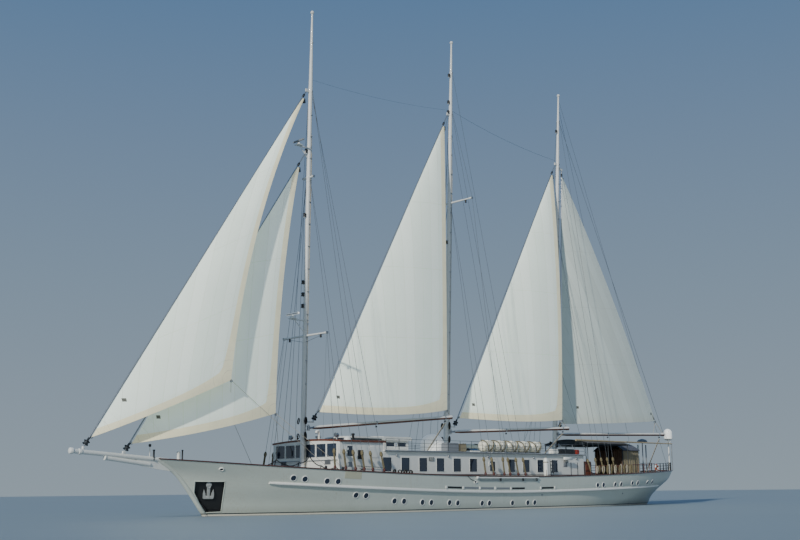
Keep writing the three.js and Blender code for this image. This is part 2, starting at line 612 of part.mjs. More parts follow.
// Booms. end is the after end at rest, swung a little to port as the sails are set.
const BOOMS = {
  fore: { mast: 'fore', pinX: 14.38, z: 6.1, end: [1.15, 1.9, 7.26] },
  main: { mast: 'main', pinX: -0.68, z: 6.24, end: [-13.51, 2.2, 6.79] },
  mizzen: { mast: 'mizzen', pinX: -14.78, z: 6.4, end: [-28.3, 2.36, 6.64] },
};

function boomSpar(boom) {
  const [ex, ey, ez] = boom.end;
  const pin = [boom.pinX, 0, boom.z];
  const reach = Math.hypot(ex - boom.pinX, ey);
  const along = (d) => [boom.pinX + ((ex - boom.pinX) * d) / reach, (ey * d) / reach,
    boom.z + ((ez - boom.z) * d) / reach];
  const half = GOOSENECK.eyeHigh / 2;
  const { eyeRadius } = GOOSENECK;
  const boreRadius = GOOSENECK.pinRadius + 0.002;
  const eye = spar([pin[0], 0, boom.z - half], [pin[0], 0, boom.z + half], eyeRadius, eyeRadius, 16);
  const bore = spar([pin[0], 0, boom.z - 1], [pin[0], 0, boom.z + 1], boreRadius, boreRadius, 12);
  return join([
    eye,
    spar(along(0.06), along(0.45), 0.07, 0.07),
    spar(along(0.4), along(0.9), 0.1, BOOM_RADIUS - 0.005, 12),
    spar(along(0.85), along(reach - 0.28), BOOM_RADIUS, BOOM_RADIUS, 12),
    spar(along(reach - 0.3), along(reach), BOOM_RADIUS + 0.02, 0.1, 12),
  ]).subtract(bore);
}

// Radar scanners turn on bracket platforms forward of the foremast
const RADARS = {
  upper: { z: 27.55, reach: 1.05, length: 1.3 },
  lower: { z: 14.2, reach: 1.2, length: 1.5 },
};
const radarX = (radar) => mastAt(MASTS.fore, radar.z) + radar.reach;
function radarBracket(radar) {
  const x = radarX(radar);
  return join([
    box(mastAt(MASTS.fore, radar.z), x + 0.25, -0.05, 0.05, radar.z - 0.28, radar.z - 0.18),
    box(x - 0.25, x + 0.25, -0.25, 0.25, radar.z - 0.2, radar.z - 0.14),
    spar([x, 0, radar.z - 0.16], [x, 0, radar.z], 0.15, 0.13),
  ]);
}
function radarScanner(radar) {
  const x = radarX(radar);
  const low = radar.z + SEAT;
  return join([
    spar([x, 0, low], [x, 0, low + 0.1], 0.06),
    box(x - 0.06, x + 0.06, -radar.length / 2, radar.length / 2, low + 0.08, low + 0.24),
  ]);
}

const foremast = join([
  mastSpar(MASTS.fore), spreader(MASTS.fore, 12.84, 2.5), spreader(MASTS.fore, 25.0, 0.6),
  gooseneck(MASTS.fore, BOOMS.fore.pinX, BOOMS.fore.z), lug('mainFoot'), lug('outerHead'), lug('innerHead'),
  radarBracket(RADARS.upper), radarBracket(RADARS.lower),
]);
const mainmast = join([
  mastSpar(MASTS.main), spreader(MASTS.main, 25.62, 2.62),
  gooseneck(MASTS.main, BOOMS.main.pinX, BOOMS.main.z), lug('mizzenFoot'), lug('mainHead'),
]);
const mizzenmast = join([
  mastSpar(MASTS.mizzen), gooseneck(MASTS.mizzen, BOOMS.mizzen.pinX, BOOMS.mizzen.z), lug('aftFoot'),
  lug('mizzenHead'), lug('aftHead'),
]);
addPiece('foremast', geometryOf(seatOnDeck(foremast)), 'mastWhite');
addPiece('mainmast', geometryOf(seatOn(mainmast, ROOFS.deckhouse)), 'mastWhite');
addPiece('mizzenmast', geometryOf(seatOnDeck(mizzenmast)), 'mastWhite');
Object.entries(BOOMS).forEach(([name, boom]) => {
  addPiece(`${name}_boom`, geometryOf(boomSpar(boom)), 'boomWhite');
});
addPiece('radar_scanner_upper', geometryOf(radarScanner(RADARS.upper)), 'houseWhite');
addPiece('radar_scanner_lower', geometryOf(radarScanner(RADARS.lower)), 'houseWhite');

// Furling stays: a foil from the foot lug to the head lug, with the furling drum near its foot and the
// swivel above the sail
const SAILS = {
  outer_jib: { foot: 'outerFoot', top: 'outerHead', tack: [31.97, 0, 4.96], head: [15.17, 0, 31.19],
    clew: [23.1, 2.5, 8.9], hollow: 1.15, sag: 0.2, round: 0, footZ: 4.4, headZ: 31.9 },
  inner_jib: { foot: 'innerFoot', top: 'innerHead', tack: [29.14, 0, 4.65], head: [15.61, 0, 25.62],
    clew: [18.95, 2.0, 6.88], hollow: 0.6, sag: 0.2, round: 0.15, footZ: 4.12, headZ: 26.9 },
  main_staysail: { foot: 'mainFoot', top: 'mainHead', tack: [13.57, 0, 7.3], head: [-0.38, 0, 32.39],
    clew: [1.8, 2.0, 7.81], hollow: 0.1, sag: 0.15, round: 0.35, footZ: 6.58, headZ: 33.6 },
  mizzen_staysail: { foot: 'mizzenFoot', top: 'mizzenHead', tack: [-1.53, 0, 7.4], head: [-15.17, 0, 30.81],
    clew: [-12.63, 2.2, 7.51], hollow: 0, sag: 0.35, round: 0.25, footZ: 6.68, headZ: 32.0 },
  mizzen_sail: { foot: 'aftFoot', top: 'aftHead', tack: [-15.13, 0, 7.34], head: [-16.77, 0, 30.81],
    clew: [-26.98, 2.3, 7.9], hollow: -0.1, sag: 0.35, round: 0.1, footZ: 6.83, headZ: 31.6 },
};

const mix = (a, b, t) => a.map((value, k) => value + (b[k] - value) * t);
const onLuff = (sail, z) => mix(sail.tack, sail.head, (z - sail.tack[2]) / (sail.head[2] - sail.tack[2]));

function furlingStay(sail) {
  const foil = spar(onLuff(sail, sail.footZ), onLuff(sail, sail.headZ), STAY_RADIUS, STAY_RADIUS, 8);
  const drumLow = sail.footZ + 0.16;
  const drum = join([
    spar(onLuff(sail, drumLow), onLuff(sail, drumLow + 0.06), 0.2, 0.2, 14),
    spar(onLuff(sail, drumLow + 0.04), onLuff(sail, drumLow + 0.26), 0.13, 0.13, 14),
    spar(onLuff(sail, drumLow + 0.24), onLuff(sail, drumLow + 0.3), 0.2, 0.2, 14),
  ]);
  const swivelLow = sail.head[2] + 0.1;
  const swivel = spar(onLuff(sail, swivelLow), onLuff(sail, swivelLow + 0.3), 0.09, 0.09, 10);
  return join([foil, drum, swivel]).subtract(lug(sail.foot, SEAT)).subtract(lug(sail.top, SEAT));
}

// Sails: a bellied triangle between the luff on its stay and the leech. hollow moves the middle of the leech
// towards the luff, sag moves it to leeward, and round drops the middle of the foot.
const SAIL_ROWS = 10;
const SAIL_COLUMNS = 8;
const CAMBER = 0.085;
const HEADBOARD = 0.22;

function sailPoint(sail, up, across) {
  const luff = mix(sail.tack, sail.head, up);
  const headEnd = [sail.head[0] - HEADBOARD, sail.head[1], sail.head[2]];
  const leech = mix(sail.clew, headEnd, up);
  const bow = 4 * up * (1 - up);
  const chordX = luff[0] - leech[0];
  leech[0] += bow * sail.hollow;
  leech[1] += bow * sail.sag;
  const point = mix(luff, leech, across);
  const belly = CAMBER * Math.abs(chordX) * 4 * across ** 0.8 * (1 - across ** 0.8);
  point[1] += belly;
  point[2] -= sail.round * 4 * across * (1 - across) * (1 - up) ** 6;
  return point;
}

function sailSolid(sail) {
  const clear = STAY_RADIUS + SEAT;
  const foil = spar(onLuff(sail, sail.footZ), onLuff(sail, sail.headZ), clear, clear, 8);
  const face = (offset) => Array.from({ length: SAIL_ROWS + 1 }, (_, r) => {
    const up = (r / SAIL_ROWS) ** 0.95;
    return Array.from({ length: SAIL_COLUMNS + 1 }, (__, c) => {
      const [x, y, z] = sailPoint(sail, up, c / SAIL_COLUMNS);
      return [x, y + offset, z];
    });
  });
  const near = face(SAIL_THICK / 2);
  const far = face(-SAIL_THICK / 2);
  const column = (rows, c) => rows.map((row) => row[c]);
  const corners = [
    ...gridFaces(near, true), ...gridFaces(far),
    ...gridFaces([near[0], far[0]]),
    ...gridFaces([near[SAIL_ROWS], far[SAIL_ROWS]], true),
    ...gridFaces([column(near, 0), column(far, 0)], true),
    ...gridFaces([column(near, SAIL_COLUMNS), column(far, SAIL_COLUMNS)]),
  ];
  return solidFromCorners(corners).subtract(foil);
}

Object.entries(SAILS).forEach(([name, sail]) => {
  const stay = furlingStay(sail);
  addPiece(`${name}_stay`, geometryOf(stay), 'steelGrey');
  addPiece(name, geometryOf(sailSolid(sail)), 'sailWhite');
});

// Satellite domes: a broad one on the deckhouse roof, a small one on a pole at the port quarter
const domeProfile = [[0, 4.3], [0.95, 4.3], [0.98, 5.2], [0.86, 5.62], [0.55, 5.9], [0, 6.0]];
const roofDome = turned(domeProfile, 1.5, 0, 0, 24);
addPiece('roof_dome', geometryOf(seatOn(roofDome, ROOFS.deckhouse)), 'houseWhite');
const STERN_DOME = { x: -29.98, y: 1.72 };
const railTop = sheer(STERN_DOME.x - 0.11) + SEAT;
const poleProfile = [[0, railTop], [0.11, railTop], [0.11, railTop + 0.05], [0.06, railTop + 0.06],
  [0.06, 6.2], [0.3, 6.3], [0.38, 6.5], [0.38, 6.72], [0.28, 6.95], [0, 7.05]];
const sternDome = turned(poleProfile, STERN_DOME.x, STERN_DOME.y, 0, 16);
addPiece('stern_dome', geometryOf(sternDome), 'houseWhite');

// Life-raft racks: five canisters in cradles along each side of the roof
const RAFT = { first: -1.75, pitch: 1.5, count: 5, y: 2.95, z: 5.02, radius: 0.43, length: 1.45 };
function raftRack() {
  const canisterProfile = [[0, 0], [0.3, 0.02], [RAFT.radius, 0.16], [RAFT.radius, RAFT.length - 0.16],
    [0.3, RAFT.length - 0.02], [0, RAFT.length]];
  const centres = Array.from({ length: RAFT.count }, (_, k) => RAFT.first - k * RAFT.pitch);
  const canister = (x) => turned(canisterProfile, 0, 0, -RAFT.length / 2, 16).rotate(90, 0, 0)
    .translate(x, RAFT.y, RAFT.z);
  const cradle = (x) => [-0.45, 0.45].map((dy) => (
    box(x - 0.36, x + 0.36, RAFT.y + dy - 0.04, RAFT.y + dy + 0.04, 4.4, RAFT.z - 0.2)));
  const last = centres[RAFT.count - 1];
  const rails = [-0.45, 0.45].map((dy) => (
    box(last - 0.5, RAFT.first + 0.5, RAFT.y + dy - 0.05, RAFT.y + dy + 0.05, 4.4, 4.58)));
  return join([...rails, ...centres.flatMap(cradle), ...centres.map(canister)]);
}
const raftRackPort = seatOn(raftRack(), ROOFS.deckhouse);
addPiece('raft_rack_port', geometryOf(raftRackPort), 'raftCream');
addPiece('raft_rack_starboard', geometryOf(mirrored(raftRackPort)), 'raftCream');

// Aft awning on its frame, and the small pavilion behind it
const awningPlaces = [ROOFS.awning.fore - 0.1, -19, ROOFS.awning.aft + 0.1];
const awningSide = ROOFS.awning.half - 0.1;
const awningTop = ROOFS.awning.edge + ROOFS.awning.camber + 0.1;
const awningPosts = awningPlaces.flatMap((x) => [-1, 1].map((side) => (
  spar([x, side * awningSide, 1.5], [x, side * awningSide, ROOFS.awning.edge], 0.035, 0.035, 8))));
const awningBeams = awningPlaces.map((x) => (
  box(x - 0.03, x + 0.03, -awningSide, awningSide, ROOFS.awning.edge - 0.06, awningTop)));
const awningRails = [-1, 1].map((side) => (
  box(ROOFS.awning.aft + 0.05, ROOFS.awning.fore - 0.05, side * awningSide - 0.03, side * awningSide + 0.03,
    ROOFS.awning.edge - 0.06, ROOFS.awning.edge + 0.1)));
const awningFrame = join([...awningPosts, ...awningBeams, ...awningRails]);
const awningFrameSeated = seatUnder(seatOnDeck(awningFrame), ROOFS.awning);
addPiece('awning_frame', geometryOf(awningFrameSeated), 'steelGrey');
addPiece('aft_awning', geometryOf(roofPlate(ROOFS.awning)), 'darkCloth');

const PAVILION = { aft: -24.95, fore: -22.35, half: 1.6, top: 5.6 };
const pavilionShell = box(PAVILION.aft, PAVILION.fore, -PAVILION.half, PAVILION.half, 1.6, PAVILION.top)
  .subtract(box(PAVILION.aft + 0.08, PAVILION.fore + 1, -PAVILION.half + 0.08, PAVILION.half - 0.08, 1, 6));
const pavilionWalls = seatUnder(seatOnDeck(pavilionShell), ROOFS.pavilion);
addPiece('pavilion_walls', geometryOf(pavilionWalls), 'darkCloth');
addPiece('pavilion_roof', geometryOf(roofPlate(ROOFS.pavilion)), 'darkCloth');

// Foredeck: windlass and hatch
const windlass = join([
  box(20.4, 21.4, -0.9, 0.9, 1.8, 2.75),
  spar([20.9, -1.15, 2.95], [20.9, 1.15, 2.95], 0.16),
  spar([20.9, -1.0, 2.95], [20.9, -0.6, 2.95], 0.3),
  spar([20.9, 0.6, 2.95], [20.9, 1.0, 2.95], 0.3),
  box(20.7, 21.1, -0.3, 0.3, 2.7, 3.2),
]);
addPiece('windlass', geometryOf(seatOnDeck(windlass)), 'steelGrey');
const hatch = box(17.2, 18.6, -0.7, 0.7, 1.8, 2.72);
addPiece('foredeck_hatch', geometryOf(seatOnDeck(hatch)), 'houseWhite');

// Stowed boarding gangway along the port bulwark
const gangway = join([
  box(-5.7, 2.5, 4.85, 5.05, 2.38, 2.5),
  box(-5.7, 2.5, 4.85, 5.0, 2.1, 2.16),
  ...[-5.6, -2.9, -0.2, 2.4].map((x) => box(x - 0.06, x + 0.06, 4.8, 5.02, 2.0, 2.5)),
]);
const gangwayClear = hullSkin.add(bulwarks.port.translate(0, SEAT, 0)).add(box(-9, 9, 0, 4.89, 1.5, 2.6));
addPiece('stowed_gangway', geometryOf(gangway.subtract(gangwayClear)), 'houseWhite');

// Bower anchors, one flat on the floor of each bow pocket: shank, crown and two flukes
const anchorForm = join([
  box(-0.06, 0.06, -0.2, 0.8, 0, 0.1),
  box(-0.36, 0.36, -0.3, -0.08, 0, 0.14),
  box(-0.36, -0.2, -0.2, 0.4, 0.01, 0.1),
  box(0.2, 0.36, -0.2, 0.4, 0.01, 0.1),
]);
const portAnchor = ontoBow(anchorForm.mirror([0, 0, 1]).translate(0.05, 0.1, POCKET.depth - SEAT));
addPiece('anchor_port', geometryOf(portAnchor), 'steelGrey');
addPiece('anchor_starboard', geometryOf(mirrored(portAnchor)), 'steelGrey');

export default ship;
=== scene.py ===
import math

import bmesh
import bpy
import numpy as np
from mathutils import Matrix, Vector
from mathutils.bvhtree import BVHTree


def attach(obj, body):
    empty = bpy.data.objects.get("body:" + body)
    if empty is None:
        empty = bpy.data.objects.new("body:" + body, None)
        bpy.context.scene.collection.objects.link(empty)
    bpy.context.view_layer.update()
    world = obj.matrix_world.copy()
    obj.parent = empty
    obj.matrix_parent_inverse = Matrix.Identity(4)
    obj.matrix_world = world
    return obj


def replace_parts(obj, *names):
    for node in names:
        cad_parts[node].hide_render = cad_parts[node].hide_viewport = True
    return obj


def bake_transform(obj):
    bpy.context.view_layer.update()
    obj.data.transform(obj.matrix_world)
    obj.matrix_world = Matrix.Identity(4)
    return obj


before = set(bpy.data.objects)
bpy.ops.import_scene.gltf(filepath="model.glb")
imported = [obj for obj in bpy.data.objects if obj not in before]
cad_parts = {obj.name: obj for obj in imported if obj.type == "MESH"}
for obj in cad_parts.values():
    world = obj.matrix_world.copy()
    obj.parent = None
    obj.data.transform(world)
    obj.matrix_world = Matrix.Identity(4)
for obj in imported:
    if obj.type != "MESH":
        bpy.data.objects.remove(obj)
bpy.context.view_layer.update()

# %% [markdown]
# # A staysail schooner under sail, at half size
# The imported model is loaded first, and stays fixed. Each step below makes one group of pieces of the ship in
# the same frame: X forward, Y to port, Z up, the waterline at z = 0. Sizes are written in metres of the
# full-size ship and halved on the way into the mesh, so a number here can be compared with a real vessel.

SHIP = 0.5

# %% [markdown]
# ## The camera
# The eye stands almost at water level off the port bow. Its place, direction and focal length were solved
# from the masts, rail and waterline of the photograph, so every piece can be checked against it by pixel.

# %% Camera
EYE = Vector((33.72782759, 32.32436796, 0.77277163))
RIGHT = Vector((-0.72004972, 0.69384336, -0.01047836))
UP = Vector((0.12518805, 0.14473918, 0.98151848))
AHEAD = Vector((-0.6825367, -0.70543034, 0.1910803))
camera_data = bpy.data.cameras.new("camera")
camera_data.sensor_width = 36.0
camera_data.lens = 51.006
camera_data.clip_end = 2000
camera = bpy.data.objects.new("camera", camera_data)
turn = Matrix((RIGHT, UP, -AHEAD)).transposed().to_4x4()
camera.matrix_world = Matrix.Translation(EYE) @ turn
bpy.context.scene.collection.objects.link(camera)
bpy.context.scene.camera = camera
print("camera at", tuple(round(v, 2) for v in EYE))

# %% [markdown]
# ## Building blocks
# Every piece starts as a Shape: corner points in ship metres and faces with a material slot each. Small
# makers return the forms that a ship is made of: bevelled plates, tubes along a path, turned bodies and
# lofted grids. `piece` welds a Shape, turns its faces outward, smooths it up to a given angle, puts it on its
# body and names its finish.

# %% Shapes
class Shape:
    """Corner points in ship metres and faces, gathered into one mesh."""

    def __init__(self):
        self.corners, self.faces, self.slots = [], [], []

    def add(self, part, slot=0):
        corners, faces = part
        start = len(self.corners)
        self.corners += [tuple(corner) for corner in corners]
        self.faces += [[start + k for k in face] for face in faces]
        self.slots += [slot] * len(faces)
        return self


def block(x0, x1, y0, y1, z0, z1, edge=0.02, segments=1):
    """A plate or box with its edges rounded off."""
    made = bmesh.new()
    bmesh.ops.create_cube(made, size=1)
    size = Vector((x1 - x0, y1 - y0, z1 - z0))
    bmesh.ops.scale(made, vec=size, verts=made.verts)
    bmesh.ops.translate(made, vec=((x0 + x1) / 2, (y0 + y1) / 2, (z0 + z1) / 2), verts=made.verts)
    offset = min(edge, 0.3 * min(abs(v) for v in size))
    bmesh.ops.bevel(made, geom=made.edges[:], offset=offset, segments=segments, affect="EDGES")
    made.verts.index_update()
    part = ([v.co[:] for v in made.verts], [[v.index for v in face.verts] for face in made.faces])
    made.free()
    return part


def ring_frames(path):
    """A right and an up direction at each point of a path, carried along without twist."""
    points = [Vector(p) for p in path]
    ways = []
    for k in range(len(points)):
        way = points[min(k + 1, len(points) - 1)] - points[max(k - 1, 0)]
        ways.append(way.normalized())
    up = Vector((0, 0, 1)) if abs(ways[0].z) < 0.9 else Vector((1, 0, 0))
    frames = []
    for way in ways:
        side = way.cross(up).normalized()
        up = side.cross(way).normalized()
        frames.append((side, up))
    return points, frames


def tube(path, radius, sides=8):
    """A closed round bar along a path, with one radius or one for each point."""
    points, frames = ring_frames(path)
    radii = radius if hasattr(radius, "__len__") else [radius] * len(points)
    corners, faces = [], []
    for point, (side, up), r in zip(points, frames, radii):
        for k in range(sides):
            angle = 2 * math.pi * k / sides
            corners.append(point + side * (r * math.cos(angle)) + up * (r * math.sin(angle)))
    for ring in range(len(points) - 1):
        a, b = ring * sides, (ring + 1) * sides
        for k in range(sides):
            n = (k + 1) % sides
            faces.append([a + k, a + n, b + n, b + k])
    faces.append(list(range(sides))[::-1])
    faces.append([(len(points) - 1) * sides + k for k in range(sides)])
    return corners, faces


def turned(profile, place=(0, 0, 0), axis=(0, 0, 1), sides=24):
    """A body of revolution: profile is radius and height along the axis, from its foot to its top."""
    turn_to = Vector((0, 0, 1)).rotation_difference(Vector(axis).normalized()).to_matrix()
    corners, faces, rings = [], [], []
    for r, h in profile:
        if r < 1e-6:
            rings.append([len(corners)])
            corners.append(turn_to @ Vector((0, 0, h)) + Vector(place))
            continue
        rings.append(list(range(len(corners), len(corners) + sides)))
        for k in range(sides):
            angle = 2 * math.pi * k / sides
            corners.append(turn_to @ Vector((r * math.cos(angle), r * math.sin(angle), h)) + Vector(place))
    for low, high in zip(rings, rings[1:]):
        for k in range(sides):
            n = (k + 1) % sides
            corner = [low[k % len(low)], low[n % len(low)], high[n % len(high)], high[k % len(high)]]
            faces.append(list(dict.fromkeys(corner)))
    for ring in (rings[0][::-1], rings[-1]):
        if len(ring) > 1:
            faces.append(ring)
    return corners, faces


def lofted(rows, closed=False):
    """A skin through rows of points of equal length; closed joins the last row to the first."""
    width = len(rows[0])
    corners = [point for row in rows for point in row]
    faces = []
    for r in range(len(rows) - (0 if closed else 1)):
        a, b = r * width, ((r + 1) % len(rows)) * width
        faces += [[a + k, a + k + 1, b + k + 1, b + k] for k in range(width - 1)]
    return corners, faces


def slab(outline, thick, normal_axis=1, centre=0.0):
    """A flat plate from an outline in the two other axes, with its thickness along normal_axis."""
    def corner(point, offset):
        full = list(point)
        full.insert(normal_axis, centre + offset)
        return tuple(full)
    count = len(outline)
    corners = [corner(p, -thick / 2) for p in outline] + [corner(p, thick / 2) for p in outline]
    faces = [list(range(count)), list(range(count, 2 * count))[::-1]]
    faces += [[k, (k + 1) % count, count + (k + 1) % count, count + k] for k in range(count)]
    return corners, faces


def mirrored(part):
    corners, faces = part
    return [(x, -y, z) for x, y, z in corners], [face[::-1] for face in faces]


HANDS = {"port": lambda part: part, "starboard": mirrored}
SIGNS = {"port": 1, "starboard": -1}


def sagging(a, b, drop=0.0, steps=8):
    """Points of a line from a to b that hangs by drop in its middle."""
    a, b = Vector(a), Vector(b)
    return [a.lerp(b, k / steps) - Vector((0, 0, drop * 4 * (k / steps) * (1 - k / steps)))
            for k in range(steps + 1)]


MADE = {}


def piece(name, shape, body, materials, angle=38, weld=1e-4):
    """One named mesh object from a Shape, on its body, with its finishes."""
    mesh = bpy.data.meshes.new(name)
    mesh.from_pydata([Vector(c) * SHIP for c in shape.corners], [], shape.faces)
    mesh.polygons.foreach_set("material_index", shape.slots)
    work = bmesh.new()
    work.from_mesh(mesh)
    if weld:
        bmesh.ops.remove_doubles(work, verts=work.verts, dist=weld * SHIP)
    bmesh.ops.recalc_face_normals(work, faces=work.faces)
    work.to_mesh(mesh)
    work.free()
    mesh.shade_smooth()
    mesh.set_sharp_from_angle(angle=math.radians(angle))
    for material in materials:
        mesh.materials.append(material)
    made = bpy.data.objects.new(name, mesh)
    bpy.context.scene.collection.objects.link(made)
    if body:
        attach(made, body)
    MADE[name] = len(mesh.polygons)
    return made


print("makers ready")

# %% [markdown]
# ## Node helpers
# `put` adds one node, sets its settings and its inputs, and returns it. An input that is a socket is linked,
# and a plain value is set on the socket itself.

# %% Node helpers
def feed(tree, socket, value):
    """Links a socket to an input, or sets a plain value on the input itself."""
    if isinstance(value, bpy.types.NodeSocket):
        tree.links.new(value, socket)
    else:
        socket.default_value = value


def put(tree, kind, inputs=None, **settings):
    node = tree.nodes.new(kind)
    for key, value in settings.items():
        setattr(node, key, value)
    for key, value in (inputs or {}).items():
        feed(tree, node.inputs[key], value)
    return node


def maths(tree, operation, a, b=0.0, clamp=False):
    return put(tree, "ShaderNodeMath", {0: a, 1: b}, operation=operation, use_clamp=clamp).outputs[0]


def xyz(tree, x=0.0, y=0.0, z=0.0):
    return put(tree, "ShaderNodeCombineXYZ", {0: x, 1: y, 2: z}).outputs[0]


def times(tree, vector, factors):
    return put(tree, "ShaderNodeVectorMath", {0: vector, 1: factors}, operation="MULTIPLY").outputs[0]


def object_place(tree):
    return put(tree, "ShaderNodeTexCoord").outputs["Object"]


def bumped(tree, height, strength, distance, normal=None, invert=False):
    """A normal from a height, laid over another normal where one is given."""
    inputs = {"Strength": strength, "Distance": distance, "Height": height}
    if normal is not None:
        inputs["Normal"] = normal
    return put(tree, "ShaderNodeBump", inputs, invert=invert).outputs[0]


def ramped(tree, value, low, high, to_low=0.0, to_high=1.0):
    return put(tree, "ShaderNodeMapRange", {"Value": value, "From Min": low, "From Max": high,
                                            "To Min": to_low, "To Max": to_high}).outputs[0]


def mixed(tree, share, a, b, blend="MIX"):
    node = put(tree, "ShaderNodeMix", data_type="RGBA", blend_type=blend)
    for number, value in ((0, share), (6, a), (7, b)):
        feed(tree, node.inputs[number], value)
    return node.outputs[2]


def rgb(code):
    """A colour as linear values from a six-figure web code."""
    parts = [int(code[k:k + 2], 16) / 255 for k in (0, 2, 4)]
    return tuple(c / 12.92 if c <= 0.04045 else ((c + 0.055) / 1.055) ** 2.4 for c in parts) + (1.0,)


def effect(name, inputs, outputs):
    """An empty shader node group. Returns its tree, the sockets that it is given and those of its result."""
    tree = bpy.data.node_groups.new(name, "ShaderNodeTree")
    for label, kind, value in inputs:
        socket = tree.interface.new_socket(label, in_out="INPUT", socket_type=kind)
        socket.default_value = value
    for label, kind in outputs:
        tree.interface.new_socket(label, in_out="OUTPUT", socket_type=kind)
    return tree, put(tree, "NodeGroupInput").outputs, put(tree, "NodeGroupOutput").inputs


# %% [markdown]
# ## Shared effects
# The same few things happen to every surface of a ship: rain washes dirt down it, salt and sun mottle it, and
# a brush, grain or weave leaves it uneven. Each effect is one node group that gives out a mask, a colour or a
# normal, and the materials below decide what to do with it.

# %% Effect groups
FLOAT, COLOUR, VECTOR = "NodeSocketFloat", "NodeSocketColor", "NodeSocketVector"

tree, given, result = effect("rain_streaks", [("Width", FLOAT, 0.05), ("Length", FLOAT, 0.9)],
                             [("Mask", FLOAT)])
place = object_place(tree)
across = maths(tree, "DIVIDE", 1.0, given["Width"])
along = maths(tree, "DIVIDE", 1.0, given["Length"])
run = times(tree, place, xyz(tree, across, across, along))
streak = put(tree, "ShaderNodeTexNoise", {"Vector": run, "Scale": 1.0, "Detail": 4.0, "Roughness": 0.6})
broad = put(tree, "ShaderNodeTexNoise", {"Vector": place, "Scale": 0.8, "Detail": 2.0})
spread = maths(tree, "MULTIPLY", ramped(tree, streak.outputs[0], 0.5, 0.78),
               ramped(tree, broad.outputs[0], 0.4, 0.65))
tree.links.new(spread, result["Mask"])

tree, given, result = effect("mottle", [("Size", FLOAT, 0.4), ("Amount", FLOAT, 0.06),
                                        ("Colour", COLOUR, (1, 1, 1, 1))],
                             [("Colour", COLOUR), ("Value", FLOAT)])
place = object_place(tree)
scale = maths(tree, "DIVIDE", 1.0, given["Size"])
coarse = put(tree, "ShaderNodeTexNoise", {"Vector": place, "Scale": scale, "Detail": 6.0, "Roughness": 0.62})
value = ramped(tree, coarse.outputs[0], 0.3, 0.7)
low = maths(tree, "SUBTRACT", 1.0, given["Amount"])
gain = ramped(tree, value, 0.0, 1.0, low, 1.0)
grey = put(tree, "ShaderNodeCombineColor", {0: gain, 1: gain, 2: gain}).outputs[0]
tree.links.new(mixed(tree, 1.0, given["Colour"], grey, "MULTIPLY"), result["Colour"])
tree.links.new(value, result["Value"])

tree, given, result = effect("brushed_bump", [("Size", FLOAT, 0.03), ("Depth", FLOAT, 0.001)],
                             [("Normal", VECTOR)])
place = object_place(tree)
scale = maths(tree, "DIVIDE", 1.0, given["Size"])
fine = put(tree, "ShaderNodeTexNoise", {"Vector": place, "Scale": scale, "Detail": 3.0})
tree.links.new(bumped(tree, fine.outputs[0], 0.6, given["Depth"]), result["Normal"])

tree, given, result = effect("timber_grain", [("Pale", COLOUR, (1, 1, 1, 1)), ("Dark", COLOUR, (0, 0, 0, 1)),
                                              ("Stretch", VECTOR, (1, 20, 20))],
                                              [("Colour", COLOUR), ("Grain", FLOAT)])
place = object_place(tree)
run = times(tree, place, given["Stretch"])
grain = put(tree, "ShaderNodeTexNoise", {"Vector": run, "Scale": 1.6, "Detail": 8.0, "Roughness": 0.65,
                                         "Distortion": 0.4})
share = ramped(tree, grain.outputs[0], 0.35, 0.68)
tree.links.new(mixed(tree, share, given["Dark"], given["Pale"]), result["Colour"])
tree.links.new(share, result["Grain"])

tree, given, result = effect("woven", [("Thread", FLOAT, 0.004), ("Depth", FLOAT, 0.0006)],
                             [("Normal", VECTOR), ("Height", FLOAT)])
place = object_place(tree)
scale = maths(tree, "DIVIDE", 3.14159, given["Thread"])
finely = put(tree, "ShaderNodeVectorMath", {0: place, "Scale": scale}, operation="SCALE")
parts = put(tree, "ShaderNodeSeparateXYZ", {0: finely.outputs[0]})
warp = maths(tree, "SINE", maths(tree, "ADD", parts.outputs[0], parts.outputs[1]))
weft = maths(tree, "SINE", parts.outputs[2])
height = maths(tree, "MULTIPLY", warp, weft)
tree.links.new(bumped(tree, height, 0.5, given["Depth"]), result["Normal"])
tree.links.new(height, result["Height"])


def use(tree, group, **inputs):
    """Places a shared effect in a material, with the material's own values."""
    node = tree.nodes.new("ShaderNodeGroup")
    node.node_tree = bpy.data.node_groups[group]
    for key, value in inputs.items():
        feed(tree, node.inputs[key], value)
    return node


def new_material(name):
    """A material with only a Principled BSDF and its output. Returns the material, its tree and the BSDF."""
    material = bpy.data.materials.new(name)
    material.use_nodes = True
    tree = material.node_tree
    tree.nodes.clear()
    shader = tree.nodes.new("ShaderNodeBsdfPrincipled")
    out = tree.nodes.new("ShaderNodeOutputMaterial")
    tree.links.new(shader.outputs[0], out.inputs[0])
    return material, tree, shader


def finish_with(tree, shader, colour, roughness, normal=None, metallic=0.0, coat=0.0):
    for key, value in (("Base Color", colour), ("Roughness", roughness), ("Metallic", metallic),
                       ("Coat Weight", coat)):
        feed(tree, shader.inputs[key], value)
    if normal is not None:
        tree.links.new(normal, shader.inputs["Normal"])


print("effects:", sorted(group.name for group in bpy.data.node_groups))
